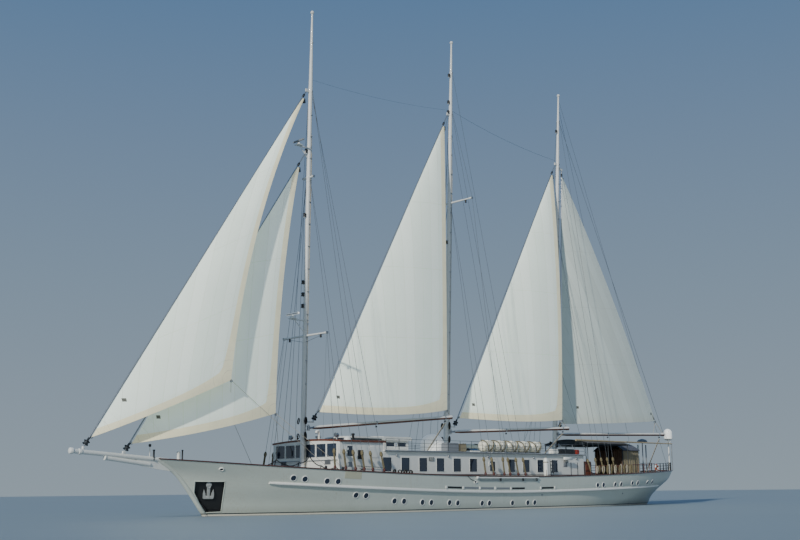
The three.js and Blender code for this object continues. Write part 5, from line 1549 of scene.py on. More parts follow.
# %% Gutters, trim, vents and lamps on the houses
HOUSE_FACE, HANDRAIL_RADIUS = 3.782, 0.022
HANDRAILS = [((-13.1, 3.86, 2.72), (-2.2, 3.86, 2.72)), ((-0.7, 3.86, 2.74), (10.2, 3.86, 2.74)),
             ((10.6, 3.9, 3.2), (13.1, 3.9, 3.3))]
shape = Shape()
for side in HANDS.values():
    # A grey tube under each roof edge is a gutter; its grey also stands for the roof edge's shade line,
    # painted shade.
    shape.add(side(tube([(x, 3.94, 4.42) for x in (-13.58, 10.42)], 0.05, 8)), 4)
    shape.add(side(block(-13.4, 10.44, HOUSE_FACE, 3.81, 4.2, 4.26, 0.01)), 0)
    shape.add(side(block(-13.4, 10.44, HOUSE_FACE, 3.8, 2.7, 2.75, 0.01)), 2)
    for ends in HANDRAILS:
        shape.add(side(tube(ends, HANDRAIL_RADIUS, 8)), 3)
    for x in (5.48, -10.9):
        shape.add(side(block(x - 0.27, x + 0.27, HOUSE_FACE, 3.83, 3.72, 4.0, 0.02)), 1)
        for k in range(5):
            z = 3.75 + 0.05 * k
            shape.add(side(block(x - 0.24, x + 0.24, 3.82, 3.85, z, z + 0.02, 0.004)), 0)
    for x in (9.1, 3.6, -0.95, -6.6, -12.4):
        shape.add(side(turned([(0.09, 0.0), (0.1, 0.03), (0.07, 0.1), (0.0, 0.12)], (x, 3.785, 4.1), (0, 1, 0),
                              12)), 3)
    shape.add(side(block(12.43, 12.93, HOUSE_FACE, 3.81, 3.78, 4.42, 0.02)), 1)
    shape.add(side(block(10.9, 11.8, HOUSE_FACE, 3.81, 3.9, 4.7, 0.02)), 0)
shape.add(tube([(14.7, -3.6, 3.72), (14.7, 3.6, 3.72)], HANDRAIL_RADIUS, 8), 3)
for y in (-3.5, -1.8, 1.8, 3.5):
    shape.add(tube([(14.63, y, 3.72), (14.7, y, 3.72)], 0.016, 6), 3)
for side in (-1, 1):
    shape.add(block(14.62, 14.68, side * 2.5 - 0.32, side * 2.5 + 0.32, 3.42, 3.76, 0.02), 4)
    for k in range(5):
        shape.add(block(14.67, 14.7, side * 2.5 - 0.28, side * 2.5 + 0.28, 3.47 + 0.055 * k, 3.49 + 0.055 * k,
                        0.004), 1)
for y in FRONT_WINDOWS[1::3]:
    shape.add(tube([(14.67, y, 4.83), (14.68, y + 0.28, 4.25)], 0.012, 6), 1)
    shape.add(block(14.66, 14.7, y + 0.2, y + 0.24, 4.1, 4.5, 0.004), 1)
shape.add(tube([(13.78, 0.5, 5.2), (13.78, 0.5, 5.75), (13.86, 0.5, 5.88), (14.0, 0.5, 5.86),
                (14.04, 0.5, 5.72)],
               [0.09, 0.09, 0.1, 0.1, 0.11], 14), 0)
for x, y, high, r in ((14.2, -1.5, 5.62, 0.05), (12.69, 3.0, 5.62, 0.1)):
    shape.add(turned([(1.5 * r, 5.1), (r, 5.14), (r, high - 0.1), (1.3 * r, high - 0.08), (1.3 * r, high),
                      (0.0, high + 0.04)],
                     (x, y, 0)), 1)
shape.add(turned([(0.2, 5.15), (0.28, 5.22), (0.26, 5.36), (0.14, 5.48), (0.0, 5.5)], (12.34, 2.0, 0)), 0)
shape.add(turned([(0.12, 5.1), (0.12, 5.5), (0.2, 5.52), (0.24, 5.66), (0.0, 5.74)], (11.6, -2.2, 0)), 0)
for x, y in ((13.9, -2.6), (13.9, 2.6)):
    shape.add(tube([(x, y, 5.1), (x, y, 5.45)], 0.035, 8), 0)
    shape.add(turned([(0.0, -0.14), (0.14, -0.12), (0.17, 0.1), (0.0, 0.12)], (x + 0.02, y, 5.52),
                     (1, 0, -0.1), 14), 3)
finishes = [house_paint, black_paint, trim_timber, steel, grey_paint]
piece("house_fittings", shape, "ship", finishes, angle=40)

shape = Shape()
for y in (-1.2, 1.2):
    shape.add(block(8.3, 8.36, y - 0.28, y + 0.28, 4.62, 5.2, 0.02))
for x in SHELTER_WINDOWS:
    for side in (-1, 1):
        shape.add(block(x - 0.43, x + 0.43, side * 1.5 - 0.02, side * 1.5 + 0.02, 4.7, 5.16, 0.02))
piece("shelter_panes", shape, "ship", [glass])


def crowned_roof(aft, fore, half, edge, camber, thick, lip=0.05):
    """A roof with a rounded edge and a crown: rows across it, from the upper face round to the lower."""
    rows = []
    steps = 28
    for k in range(steps + 1):
        y = half * (2 * k / steps - 1)
        top = edge + camber * (1 - (y / half) ** 2) + thick
        rows.append([(aft, y, top - thick + 0.002), (aft, y, top - lip), (aft + lip, y, top),
                     (fore - lip, y, top),
                     (fore, y, top - lip), (fore, y, top - thick + 0.002), (aft, y, top - thick + 0.002)])
    corners, faces = lofted(rows)
    wide = len(rows[0])
    faces.append(list(range(wide - 1)))
    faces.append([steps * wide + k for k in range(wide - 1)][::-1])
    return corners, faces


shape = Shape().add(crowned_roof(8.5, 11.4, 1.7, 5.4, 0.07, 0.12, 0.05), 0)
for x in (8.75, 11.1):
    for side in (-1, 1):
        shape.add(tube([(x, side * 1.55, 5.2 if x > 10 else 4.5), (x, side * 1.55, 5.38)], 0.03, 8), 1)
piece("bridge_canopy", shape, "ship", [roof_paint, steel], angle=50)
roof = piece("shelter_top", Shape().add(crowned_roof(5.5, 8.55, 1.72, 5.3, 0.06, 0.28, 0.1)), "ship",
             [roof_paint], angle=50)
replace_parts(roof, "shelter_roof")

# %% [markdown]
# ## Railings
# A guard rail is posts at an even spacing with level wires or tubes between them. One Geometry Nodes group
# makes it along any line: the line is swept into a bar, the bar is copied once for each rail, and a post
# stands at each step.

# %% Railings
rails, given = new_growth("railing", {"Spacing": FLOAT, "Height": FLOAT, "Post Radius": FLOAT,
                                      "Rail Radius": FLOAT, "Rail Count": COUNT, "Finish": FINISH})
line = grown(rails, "MeshToCurve", {"Mesh": given["Geometry"]})
spaced = grown(rails, "ResampleCurve", {"Curve": line, "Length": given["Spacing"]}, mode="LENGTH")
post = grown(rails, "MeshCylinder", {"Vertices": 8, "Radius": given["Post Radius"], "Depth": given["Height"]})
lift = xyz(rails, z=maths(rails, "MULTIPLY", given["Height"], 0.5))
post = grown(rails, "Transform", {"Geometry": post, "Translation": lift})
posts = grown(rails, "InstanceOnPoints", {"Points": spaced, "Instance": post})
step = xyz(rails, z=maths(rails, "DIVIDE", given["Height"], given["Rail Count"]))
levels = grown(rails, "MeshLine", {"Count": given["Rail Count"], "Start Location": step, "Offset": step})
bar = swept(rails, line, given["Rail Radius"], 6)
bars = grown(rails, "InstanceOnPoints", {"Points": levels, "Instance": bar})
wire_up(rails, joined(rails, posts, bars), given["Finish"])


def railing(name, points, height=0.82, spacing=1.25, count=3, material=None, post=0.02,
            bar=0.014):
    edges = [(k, k + 1) for k in range(len(points) - 1)]
    values = {"Spacing": spacing * SHIP, "Height": height * SHIP, "Post Radius": post * SHIP,
              "Rail Radius": bar * SHIP, "Rail Count": count, "Finish": material or steel}
    return grow(name, rails, points, edges, values, "ship")


def roof_z(y, edge=4.38, camber=0.12, half=3.92, thick=0.08):
    return edge + camber * (1 - (y / half) ** 2) + thick


for side_name, side in SIGNS.items():
    y = side * 3.82
    railing(f"roof_rail_{side_name}", [(x, y, roof_z(y)) for x in (-13.5, -7.0, -1.0, 4.5, 10.2)],
            material=dark_steel)
    line = []
    for x in np.linspace(-24.6, -30.9, 16):
        line.append((x, side * max(0.0, half_breadth(RAIL_LEVEL, x) - 0.12), sheer(x)))
    railing(f"stern_rail_{side_name}", line, 0.72, 0.8, 3, black_paint, post=0.045, bar=0.022)
    line = [(x, side * (half_breadth(RAIL_LEVEL, x) - 0.13), sheer(x)) for x in np.linspace(-13.8, -24.2, 12)]
    railing(f"pin_rail_{side_name}", line, 0.72, 1.05, 1, trim_timber, 0.03, 0.035)
railing("roof_end_rail", [(-13.5, y, roof_z(y)) for y in np.linspace(-3.82, 3.82, 9)])
print("railings", [MADE[k] for k in MADE if "rail_" in k or k.endswith("rail")])

# %% [markdown]
# ## Life rafts and domes
# A raft packs into a canister of two shells that meet at a flange, held in its cradle by two slanted ropes.
# The domes hide aerials: a smooth shell on a flanged base. The shell glows a little, as painted sunlight.

# %% Rafts and domes
RAFT_X = [-1.75 - 1.5 * k for k in range(5)]
RAFT_Y, RAFT_Z, RAFT_R, RAFT_L = 2.95, 5.02, 0.43, 1.42


def canister(x, y):
    profile = []
    for k in range(9):
        angle = math.pi / 2 * k / 8
        profile.append((RAFT_R * math.sin(angle) ** 0.7, -RAFT_L / 2 + 0.26 * (1 - math.cos(angle))))
    profile += [(RAFT_R, -0.05), (RAFT_R + 0.035, -0.035), (RAFT_R + 0.035, 0.035), (RAFT_R, 0.05)]
    profile += [(r, -h) for r, h in profile[8::-1]]
    return turned(profile, (x, y, RAFT_Z), (1, 0, 0), 28)


for side_name, side in SIGNS.items():
    shape = Shape()
    y = side * RAFT_Y
    for x in RAFT_X:
        shape.add(canister(x, y), 0)
        for way in (-1, 1):
            lashing = []
            for k in range(15):
                angle = math.radians(97 - 12.0 * k)
                r = RAFT_R + 0.014 if k < 11 else RAFT_R + 0.02
                lashing.append((x + way * (0.66 - 0.6 * k / 14), y + side * r * math.cos(angle),
                                RAFT_Z + r * math.sin(angle)))
            shape.add(tube(lashing, 0.045, 6), 1)
        for off in (-0.32, 0.32):
            low = roof_z(y)
            shape.add(block(x + off - 0.03, x + off + 0.03, y - 0.42, y + 0.42, low + 0.02, low + 0.1, 0.01),
                      2)
            for edge_y in (-0.4, 0.4):
                shape.add(tube([(x + off, y + edge_y, low), (x + off, y + edge_y, low + 0.42)], 0.028, 8), 2)
        shape.add(turned([(0.06, 0.0), (0.07, 0.02), (0.0, 0.05)],
                         (x + 0.08, y + side * (RAFT_R - 0.01), RAFT_Z + 0.02), (0, side, 0), 10), 2)
    for edge_y in (-0.4, 0.4):
        shape.add(tube([(RAFT_X[-1] - 0.7, y + edge_y, roof_z(y) + 0.42),
                        (RAFT_X[0] + 0.7, y + edge_y, roof_z(y) + 0.42)], 0.028, 8), 2)
    rack = piece(f"life_rafts_{side_name}", shape, "ship", [raft_shell, tan_rope, steel],
                 angle=40)
    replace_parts(rack, f"raft_rack_{side_name}")


def dome_profile(r, low, waist, top, steps=14):
    profile = [(r * 0.97, low), (r, low + 0.04), (r, waist)]
    for k in range(1, steps + 1):
        angle = math.pi / 2 * k / steps
        profile.append((r * math.cos(angle), waist + (top - waist) * math.sin(angle)))
    return profile


ROOF_DOME = (1.5, 0, 0)
shape = Shape().add(turned(dome_profile(0.96, 4.62, 5.18, 6.0), ROOF_DOME, sides=40), 0)
shape.add(ring_band(0.9, 1.0, 5.14, 5.2, ROOF_DOME, sides=40), 0)
shape.add(ring_band(0.7, 0.98, 4.49, 4.64, ROOF_DOME, sides=40), 1)
dome = piece("aerial_dome", shape, "ship", [glowing_dome_shell, grey_paint])
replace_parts(dome, "roof_dome")
POLE_X, POLE_Y = -29.98, 1.72
rail_top = sheer(POLE_X)
shape = Shape().add(turned([(0.11, rail_top), (0.11, rail_top + 0.05), (0.06, rail_top + 0.07), (0.06, 6.05),
                            (0.1, 6.1),
                            (0.3, 6.22), (0.46, 6.27), (0.46, 6.31), (0.0, 6.31)], (POLE_X, POLE_Y, 0)), 1)
shape.add(turned(dome_profile(0.41, 6.31, 6.85, 7.26), (POLE_X, POLE_Y, 0), sides=28), 0)
for turn_at in range(4):
    angle = math.pi / 2 * turn_at + 0.5
    top = Vector((POLE_X, POLE_Y, 6.2)) + Vector((math.cos(angle), math.sin(angle), 0)) * 0.3
    shape.add(tube([Vector((POLE_X, POLE_Y, 5.7)), top], 0.018, 6), 1)
shape.add(tube([(-29.8, 1.55, 6.3), (-29.55, 1.4, 7.0)], 0.018, 6), 2)
shape.add(tube([(-29.85, 1.9, 6.3), (-29.7, 2.0, 7.0)], 0.018, 6), 2)
dome = piece("aerial_mast_aft", shape, "ship", [glowing_dome_shell, house_paint, black_paint])
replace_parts(dome, "stern_dome")
print("rafts", MADE["life_rafts_port"], "domes done")

# %% [markdown]
# ## Bow gear
# The stem is a round bar that the plating lands on. The bowsprit is two steel tubes with a beak plate where
# they meet the stem, and each jib stay pulls on a plate lug on top of it. Ground tackle follows: an anchor
# in each pocket, the windlass that lifts it, and fairleads and bollards for the mooring lines.

# %% Stem and bowsprit
stem_line = [row[-1] for row in outer if row[-1][2] > -1.2]
shape = Shape().add(tube([(x - 0.1, y, z) for x, y, z in stem_line], 0.17, 16))
piece("stem_bar", shape, "ship", [hull_paint], angle=60)
heel, tip = Vector((26.2, 0, 3.64)), Vector((33.2, 0, 4.17))
along = (tip - heel).normalized()
shape = Shape().add(tube([heel, tip], 0.15, 28), 0)
shape.add(turned([(0.15, -0.75), (0.19, -0.73), (0.19, -0.57), (0.15, -0.55)], tip, along), 0)
shape.add(turned([(0.2, -0.14), (0.2, 0.02), (0.17, 0.06), (0.08, 0.08), (0.0, 0.085)], tip, along), 0)
shape.add(tube([(30.8, 0, 3.77), (27.6, 0, 3.37)], 0.15, 20), 0)
shape.add(turned([(0.15, -0.02), (0.17, 0.0), (0.17, 0.1), (0.12, 0.13), (0.0, 0.13)], (30.75, 0, 3.765),
                 (3.2, 0, 0.4), 20), 0)
shape.add(slab([(26.3, 3.6), (28.7, 3.82), (28.3, 3.3), (26.9, 3.05), (26.0, 2.95)], 0.12), 0)
for x in (28.9, 30.2):
    shape.add(slab([(x - 0.2, 3.64), (x + 0.2, 3.7), (x + 0.1, 3.84), (x - 0.1, 3.84)], 0.06), 0)
for sail in ("outer_jib", "inner_jib"):
    lug(shape, sail, 0)
sprit = piece("bowsprit_tubes", shape, "ship", [house_paint, steel], angle=45)
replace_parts(sprit, "bowsprit")
print("bowsprit", MADE["bowsprit_tubes"])


# %% Anchors, pocket frames and fairleads
FLUKE_THICK = 0.08


def anchor(shape):
    """A stockless anchor seen flat: crown, two flukes that taper to their points, shank and ring."""
    bars = [block(-0.31, 0.41, -0.2, 0.02, 0.09, 0.24, 0.06, 3),
            block(-0.06, 0.16, -0.12, 0.86, 0.12, 0.24, 0.05, 3)]
    for side in (-1, 1):
        outline = [(0.05 + side * a, b) for a, b in ((0.36, -0.14), (0.15, -0.14), (0.2, 0.2), (0.31, 0.52),
                                                     (0.37, 0.2))]
        bars.append(slab(outline, FLUKE_THICK, 2, 0.15))
    turns = [t * math.pi / 8 for t in range(17)]
    ring = [(0.05 + 0.12 * math.cos(t), 0.74 + 0.12 * math.sin(t), 0.12) for t in turns]
    bars.append(tube(ring, 0.035, 8))
    bars.append(turned([(0.12, 0.1), (0.19, 0.12), (0.19, 0.2), (0.12, 0.24)], (0.05, 0.84, 0), (0, 0, 1), 20))
    for bar in bars:
        shape.add(onto_bow(bar), 0)


def pocket_frame():
    """A bar along the edge of the pocket, laid on the plating by casting each of its points inward."""
    corners = [Vector((a * 1.05, b * 1.04, 0)) for a, b in POCKET_LINE]
    path = []
    for a, b in zip(corners, corners[1:] + corners[:1]):
        for step in range(12):
            point = a.lerp(b, step / 12)
            start = Vector(onto_bow(([(point.x, point.y, -2.0)], []))[0][0])
            hit, _, _, _ = skin_tree.ray_cast(start * SHIP, POCKET_AXES[2])
            path.append(hit / SHIP)
    return tube(path + path[:1], 0.03, 8)


for side_name, side in HANDS.items():
    form = Shape()
    anchor(form)
    made = Shape().add(side((form.corners, form.faces)), 0)
    bower = piece(f"bower_anchor_{side_name}", made, "ship", [pale_steel], angle=40)
    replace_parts(bower, f"anchor_{side_name}")
    piece(f"pocket_frame_{side_name}", Shape().add(side(pocket_frame()), 0), "ship",
          [hull_paint], angle=60)


def on_side(shape, profile, x, z, side, finish, sides=20, squeeze=1.0):
    """A turned fitting welded on the plating, squeezed in height where it is oval."""
    point, normal = on_plating(x, z, side)
    corners, faces = turned(profile, point, normal, sides)
    corners = [(c[0], c[1], point.z + (c[2] - point.z) * squeeze) for c in corners]
    return shape.add((corners, faces), finish)


RING = [(0.1, -0.05), (0.1, 0.03), (0.13, 0.06), (0.17, 0.05), (0.19, 0.0), (0.19, -0.05)]
HOLE = [(0.12, -0.04), (0.12, 0.012), (0.0, 0.012)]
shape = Shape()
for side in (-1, 1):
    for x, z, squeeze in ((23.3, 3.05, 0.8), (1.81, 2.14, 0.7)):
        on_side(shape, RING, x, z, side, 0, 20, squeeze)
        on_side(shape, HOLE, x, z, side, 1, 20, squeeze)
    for x in (-6.3, -18.4):
        on_side(shape, [(0.07, -0.03), (0.075, 0.03), (0.05, 0.05), (0.0, 0.05)], x, 1.1, side, 2, 12)
piece("fairleads", shape, "ship", [house_paint, black_paint, steel], angle=50)
print("anchors", MADE["bower_anchor_port"], "fairleads", MADE["fairleads"])

# %% Windlass, hatch, bollards and posts
WINDLASS_X, SHAFT_Z = 20.9, 2.95
deck = deck_z(WINDLASS_X)
shape = Shape().add(block(20.35, 21.45, -0.85, 0.85, deck, deck + 0.14, 0.03), 1)
shape.add(block(20.62, 21.18, -0.34, 0.34, deck + 0.1, 3.28, 0.1, 3), 0)
GYPSY = [(0.17, -0.22), (0.32, -0.2), (0.33, -0.14), (0.22, -0.06), (0.22, 0.06), (0.33, 0.14), (0.32, 0.2),
         (0.17, 0.22)]
WARPING = [(0.15, 0.0), (0.26, 0.02), (0.27, 0.06), (0.18, 0.12), (0.18, 0.22), (0.26, 0.28), (0.26, 0.32),
           (0.0, 0.34)]
for side in (-1, 1):
    shape.add(tube([(WINDLASS_X, 0, SHAFT_Z), (WINDLASS_X, side * 1.02, SHAFT_Z)], 0.13, 20), 1)
    shape.add(turned(GYPSY, (WINDLASS_X, side * 0.62, SHAFT_Z), (0, 1, 0), 24), 1)
    shape.add(turned(WARPING, (WINDLASS_X, side * 0.86, SHAFT_Z), (0, side, 0), 24), 0)
    shape.add(block(20.78, 21.02, side * 0.4 - 0.05, side * 0.4 + 0.05, deck, 3.0, 0.03), 0)
    shape.add(turned([(0.02, 0.0), (0.02, 0.3), (0.14, 0.3), (0.14, 0.33), (0.0, 0.33)],
                     (21.1, side * 0.36, 3.1), sides=16), 2)
    chain = [Vector((21.15, side * 0.62, 3.12)), Vector((21.6, side * 0.68, 2.9)),
             Vector((22.3, side * 0.75, deck_z(22.3) + 0.05))]
    shape.add(tube(chain, 0.05, 8), 1)
    shape.add(turned([(0.12, 0.0), (0.15, 0.05), (0.13, 0.12), (0.1, 0.13)],
                     (22.3, side * 0.75, deck_z(22.3) - 0.02), sides=16), 0)
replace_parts(piece("anchor_windlass", shape, "ship", [grey_paint, dark_steel, red_paint], angle=40),
            "windlass")
shape = Shape().add(block(17.22, 18.58, -0.68, 0.68, deck_z(17.9) - 0.1, 2.62, 0.03), 0)
shape.add(block(17.2, 18.6, -0.7, 0.7, 2.6, 2.7, 0.035, 3), 0)
shape.add(block(17.5, 18.3, -0.45, 0.45, 2.68, 2.725, 0.02), 1)
for y in (-0.4, 0.4):
    shape.add(tube([(17.12, y, 2.6), (17.12, y, 2.72), (17.3, y, 2.72)], 0.025, 8), 2)
    shape.add(tube([(18.66, y - 0.1, 2.62), (18.74, y - 0.1, 2.66), (18.74, y + 0.1, 2.66),
                    (18.66, y + 0.1, 2.62)], 0.015, 6), 2)
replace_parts(piece("foredeck_hatch_lid", shape, "ship", [house_paint, glass, steel], angle=40),
            "foredeck_hatch")
shape = Shape()
for x, y in ((22.4, 0.9), (19.3, 2.1), (-26.6, 2.2), (-12.9, 4.1)):
    for side in (-1, 1):
        low = deck_z(x, y)
        shape.add(block(x - 0.4, x + 0.4, side * y - 0.13, side * y + 0.13, low, low + 0.05, 0.01), 0)
        for off in (-0.22, 0.22):
            knob = [(0.1, 0.0), (0.09, 0.05), (0.09, 0.34), (0.13, 0.37), (0.13, 0.42), (0.0, 0.45)]
            shape.add(turned(knob, (x + off, side * y, low + 0.03), sides=16), 0)
low = sheer(26.4)
shape.add(tube([(27.6, 0, 3.72), (27.6, 0, 4.55)], 0.03, 8), 1)
shape.add(turned([(0.05, 0.0), (0.09, 0.03), (0.09, 0.16), (0.0, 0.2)], (27.6, 0, 4.5), sides=12), 2)
shape.add(turned([(0.14, 0.0), (0.11, 0.05), (0.11, 0.5), (0.13, 0.56), (0.0, 0.6)], (25.67, 0.4, low - 0.1)),
          1)
shape.add(turned([(0.09, 0.0), (0.05, 0.05), (0.05, 0.62), (0.08, 0.66), (0.0, 0.7)],
                 (25.41, 0.45, low - 0.1)), 2)
shape.add(turned([(0.09, 0.0), (0.06, 0.05), (0.06, 0.6), (0.1, 0.66), (0.0, 0.7)], (27.35, 0.1, low - 0.1)),
          2)
for side in (-1, 1):
    shape.add(turned([(0.1, 0.0), (0.08, 0.5), (0.16, 0.55), (0.2, 0.72), (0.0, 0.76)],
                     (16.6, side * 1.8, deck_z(16.6))), 1)
piece("bollards_and_posts", shape, "ship", [grey_paint, house_paint, black_paint], angle=40)
print("foredeck", MADE["anchor_windlass"], MADE["bollards_and_posts"])

# %% [markdown]
# ## Along the ship's side
# Freeing ports let water run off the deck; on this ship they are long low slots behind flaps. The slots are
# not
# cut: a thin black plate laid on the plating is painted shade for each opening. A boarding gangway lies
# against the bulwark, and a fender and a ladder stand by the rail.

# %% Freeing ports, gangway, fender and ladder
def side_strip(x0, x1, z0, z1, side, proud=0.012, steps=6, rise=strake_z):
    """A thin plate laid on the plating between two lengths, at heights above the line that rise gives."""
    rows = []
    for k in range(steps + 1):
        x = x0 + (x1 - x0) * k / steps
        low, _ = on_plating(x, rise(x) + z0, side)
        high, _ = on_plating(x, rise(x) + z1, side)
        row = [(x, low.y - side * 0.02, low.z), (x, low.y + side * proud, low.z),
               (x, high.y + side * proud, high.z), (x, high.y - side * 0.02, high.z)]
        rows.append(row)
    corners, faces = lofted([list(column) for column in zip(*rows)], closed=True)
    width = steps + 1
    faces += [[k * width for k in range(4)], [k * width + steps for k in range(4)][::-1]]
    return corners, faces


# A black plate is painted shade for an open slot; the others are grey plates.
FREEING = [(4.89, 3.35, 0), (3.02, 1.44, 1), (1.15, -0.3, 1), (-0.66, -2.21, 1), (-2.51, -4.05, 0),
           (-6.2, -7.76, 0)]
shape = Shape()
for side in (1, -1):
    for fore, aft, finish in FREEING:
        shape.add(side_strip(aft, fore, 0.2, 0.34, side), finish)
    for x in (5.05, 3.18, 1.3, -0.48, -2.36, -6.06, -7.9):
        shape.add(side_strip(x - 0.07, x + 0.07, 0.18, 0.38, side, 0.05, 2), 3)
    shape.add(side_strip(13.31, 14.71, 0.56, 1.06, side), 2)
piece("freeing_ports", shape, "ship", [black_paint, grey_paint, hatch_paint, house_paint],
      angle=30)

TOP_Y, TOP_Z, LOW_Y, LOW_Z = 5.0, 2.46, 4.97, 2.27
shape = Shape()
shape.add(tube([(1.6, TOP_Y, TOP_Z), (-5.68, TOP_Y, TOP_Z)], 0.05, 12), 0)
shape.add(tube([(1.4, LOW_Y, LOW_Z), (-5.6, LOW_Y, LOW_Z)], 0.022, 8), 1)
shape.add(turned([(0.05, -0.1), (0.09, -0.08), (0.09, 0.08), (0.05, 0.1)], (1.65, 5.0, 2.47), (1, 0, 0), 14),
          0)
for k in range(14):
    x = 1.3 - 0.49 * k
    shape.add(tube([(x, TOP_Y, TOP_Z), (x, LOW_Y, LOW_Z)], 0.01, 6), 1)
for x in (-1.05, -3.79, -5.5):
    shape.add(block(x - 0.05, x + 0.05, 4.88, 5.03, 2.2, 2.52, 0.015), 2)
shape.add(tube([(2.75, 4.92, 2.62), (2.4, 4.94, 2.36), (2.05, 4.97, 2.24), (1.9, 4.98, 2.18)], 0.02, 6), 2)
gangway = piece("boarding_gangway", shape, "ship", [house_paint, steel, dark_steel], angle=40)
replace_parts(gangway, "stowed_gangway")

shape = Shape()
fender = [(0.0, 0.0), (0.1, 0.02), (0.18, 0.12), (0.2, 0.3), (0.2, 1.3), (0.18, 1.48), (0.1, 1.58), (0.0, 1.6)]
shape.add(turned(fender, (-7.3, 4.5, 2.5), sides=24), 0)
shape.add(ring_band(0.19, 0.215, 1.2, 1.26, (-7.3, 4.5, 2.5)), 1)
shape.add(tube([(-7.3, 4.5, 4.08), (-7.25, 4.58, 4.2), (-7.15, 4.66, 2.66)], 0.02, 6), 1)
shape.add(block(-11.05, -10.55, 3.785, 3.82, 3.4, 3.85, 0.02), 3)
shape.add(block(-11.3, -10.2, 4.05, 4.25, 3.95, 4.2, 0.04), 0)
for x in (-8.0, -8.35):
    shape.add(tube([(x, 4.5, 1.9), (x, 4.4, 3.95)], 0.03, 8), 2)
for k in range(7):
    z = 2.05 + 0.29 * k
    y = 4.5 - 0.1 * (z - 1.9) / 2.05
    shape.add(tube([(-8.0, y, z), (-8.35, y, z)], 0.035, 8), 2)
for x in (-10.6, -11.5, -12.5, -13.4):
    shape.add(tube([(x, 4.56, 2.6), (x, 4.56, 3.75)], 0.032, 8), 2)
piece("side_gear", shape, "ship", [house_paint, tan_rope, dark_steel, grey_paint], angle=50)
print("side", MADE["freeing_ports"], MADE["boarding_gangway"], MADE["side_gear"])

# %% [markdown]
# ## Canvas over the after deck
# The awning is one rectangle of canvas laced to its frame, so it dips a little between the hoops. The
# pavilion aft of it has a crowned canvas roof and canvas walls that hang in soft folds from its edge. Two
# gathered curtains hang at its front, one from each side, each drawn in a little below its middle.

# %% Awning and pavilion
def cut_of(grid):
    """The flat width and length of a cloth, along its longest row and its mean column, in model metres."""
    places = np.array(grid) * SHIP
    wide = np.linalg.norm(np.diff(places, axis=1), axis=2).sum(axis=1).max()
    return float(wide), float(np.linalg.norm(np.diff(places, axis=0), axis=2).sum(axis=0).mean())


def crossing(half, y):
    return 1 - (y / half) ** 2


AWNING_AFT, AWNING_FORE, AWNING_HALF = -22.15, -15.8, 2.5
AWNING_EDGE, AWNING_CROWN, AWNING_DIP = 5.56, 0.4, 0.07
grid = []
for x in np.linspace(AWNING_AFT, AWNING_FORE, 41):
    bay = (x - AWNING_AFT) / (AWNING_FORE - AWNING_AFT) * 2
    dip = AWNING_DIP * abs(math.sin(math.pi * bay))
    across = np.linspace(-AWNING_HALF, AWNING_HALF, 31)
    grid.append([(x, y, AWNING_EDGE + (AWNING_CROWN - dip) * crossing(AWNING_HALF, y)) for y in across])
awning = piece("awning_canvas", Shape().add(cloth_sheet(grid), 0), "ship", [awning_cloth],
               angle=50)
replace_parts(awning, "aft_awning")
print("awning cut", cut_of(grid))

ROOF_AFT, ROOF_FORE, ROOF_HALF = -25.05, -22.25, 1.72
ROOF_EDGE, ROOF_CROWN = 5.04, 0.7
across = np.linspace(-ROOF_HALF, ROOF_HALF, 31)
grid = []
for x in np.linspace(ROOF_AFT, ROOF_FORE, 25):
    grid.append([(x, y, ROOF_EDGE + ROOF_CROWN * crossing(ROOF_HALF, y)) for y in across])
top = piece("pavilion_canvas_roof", Shape().add(cloth_sheet(grid), 0), "ship", [blue_canvas],
            angle=50)
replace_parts(top, "pavilion_roof")
posts = Shape()
for x in (-24.9, -22.4):
    for side in (-1, 1):
        posts.add(tube([(x, side * 1.56, deck_z(x, 1.56)), (x, side * 1.56, 5.1)], 0.05, 10), 0)
    hoop = [(x, y, 4.99 + ROOF_CROWN * crossing(ROOF_HALF, y)) for y in np.linspace(-1.66, 1.66, 21)]
    posts.add(tube(hoop, 0.035, 8), 0)
for side in (-1, 1):
    posts.add(tube([(-24.9, side * 1.62, 5.03), (-22.4, side * 1.62, 5.03)], 0.03, 8), 0)
frame_piece = piece("pavilion_frame", posts, "ship", [dark_steel], angle=50)

WALL_PATH = [(-22.5, 1.58), (-24.93, 1.58), (-24.93, -1.58), (-22.5, -1.58)]


def wall_point(share):
    """A place along the three walls and its outward direction, at a share of their length."""
    lengths = [math.dist(a, b) for a, b in zip(WALL_PATH, WALL_PATH[1:])]
    rest = share * sum(lengths)
    for (a, b), length in zip(zip(WALL_PATH, WALL_PATH[1:]), lengths):
        if rest <= length + 1e-9:
            t, run_x, run_y = rest / length, b[0] - a[0], b[1] - a[1]
            return a[0] + run_x * t, a[1] + run_y * t, run_y / length, -run_x / length
        rest -= length
    return WALL_PATH[-1] + (0.0, 1.0)


WALL_LOW, COLUMNS, ROWS = 2.35, 180, 14
FOLDS, FOLD_DEPTH = 22, 0.045
grid = []
for row in range(ROWS + 1):
    down = row / ROWS
    line = []
    for column in range(COLUMNS + 1):
        x, y, out_x, out_y = wall_point(column / COLUMNS)
        high = 5.02 + ROOF_CROWN * crossing(ROOF_HALF, min(abs(y), 1.58))
        turns = column / COLUMNS * 2 * math.pi * FOLDS
        fold = FOLD_DEPTH * down ** 0.6 * math.sin(turns + 0.8 * math.sin(column * 0.13))
        z = high + (WALL_LOW + 0.03 * math.sin(column * 0.11) - high) * down
        line.append((x - out_x * fold, y - out_y * fold, z))
    grid.append(line)
walls = piece("pavilion_canvas_walls", Shape().add(cloth_sheet(grid), 0), "ship", [tan_canvas],
              angle=60)
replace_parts(walls, "pavilion_walls")
CURTAIN_WIDE, CURTAIN_TOP, CURTAIN_LOW, CURTAIN_FOLDS = 1.25, 5.12, 2.4, 6
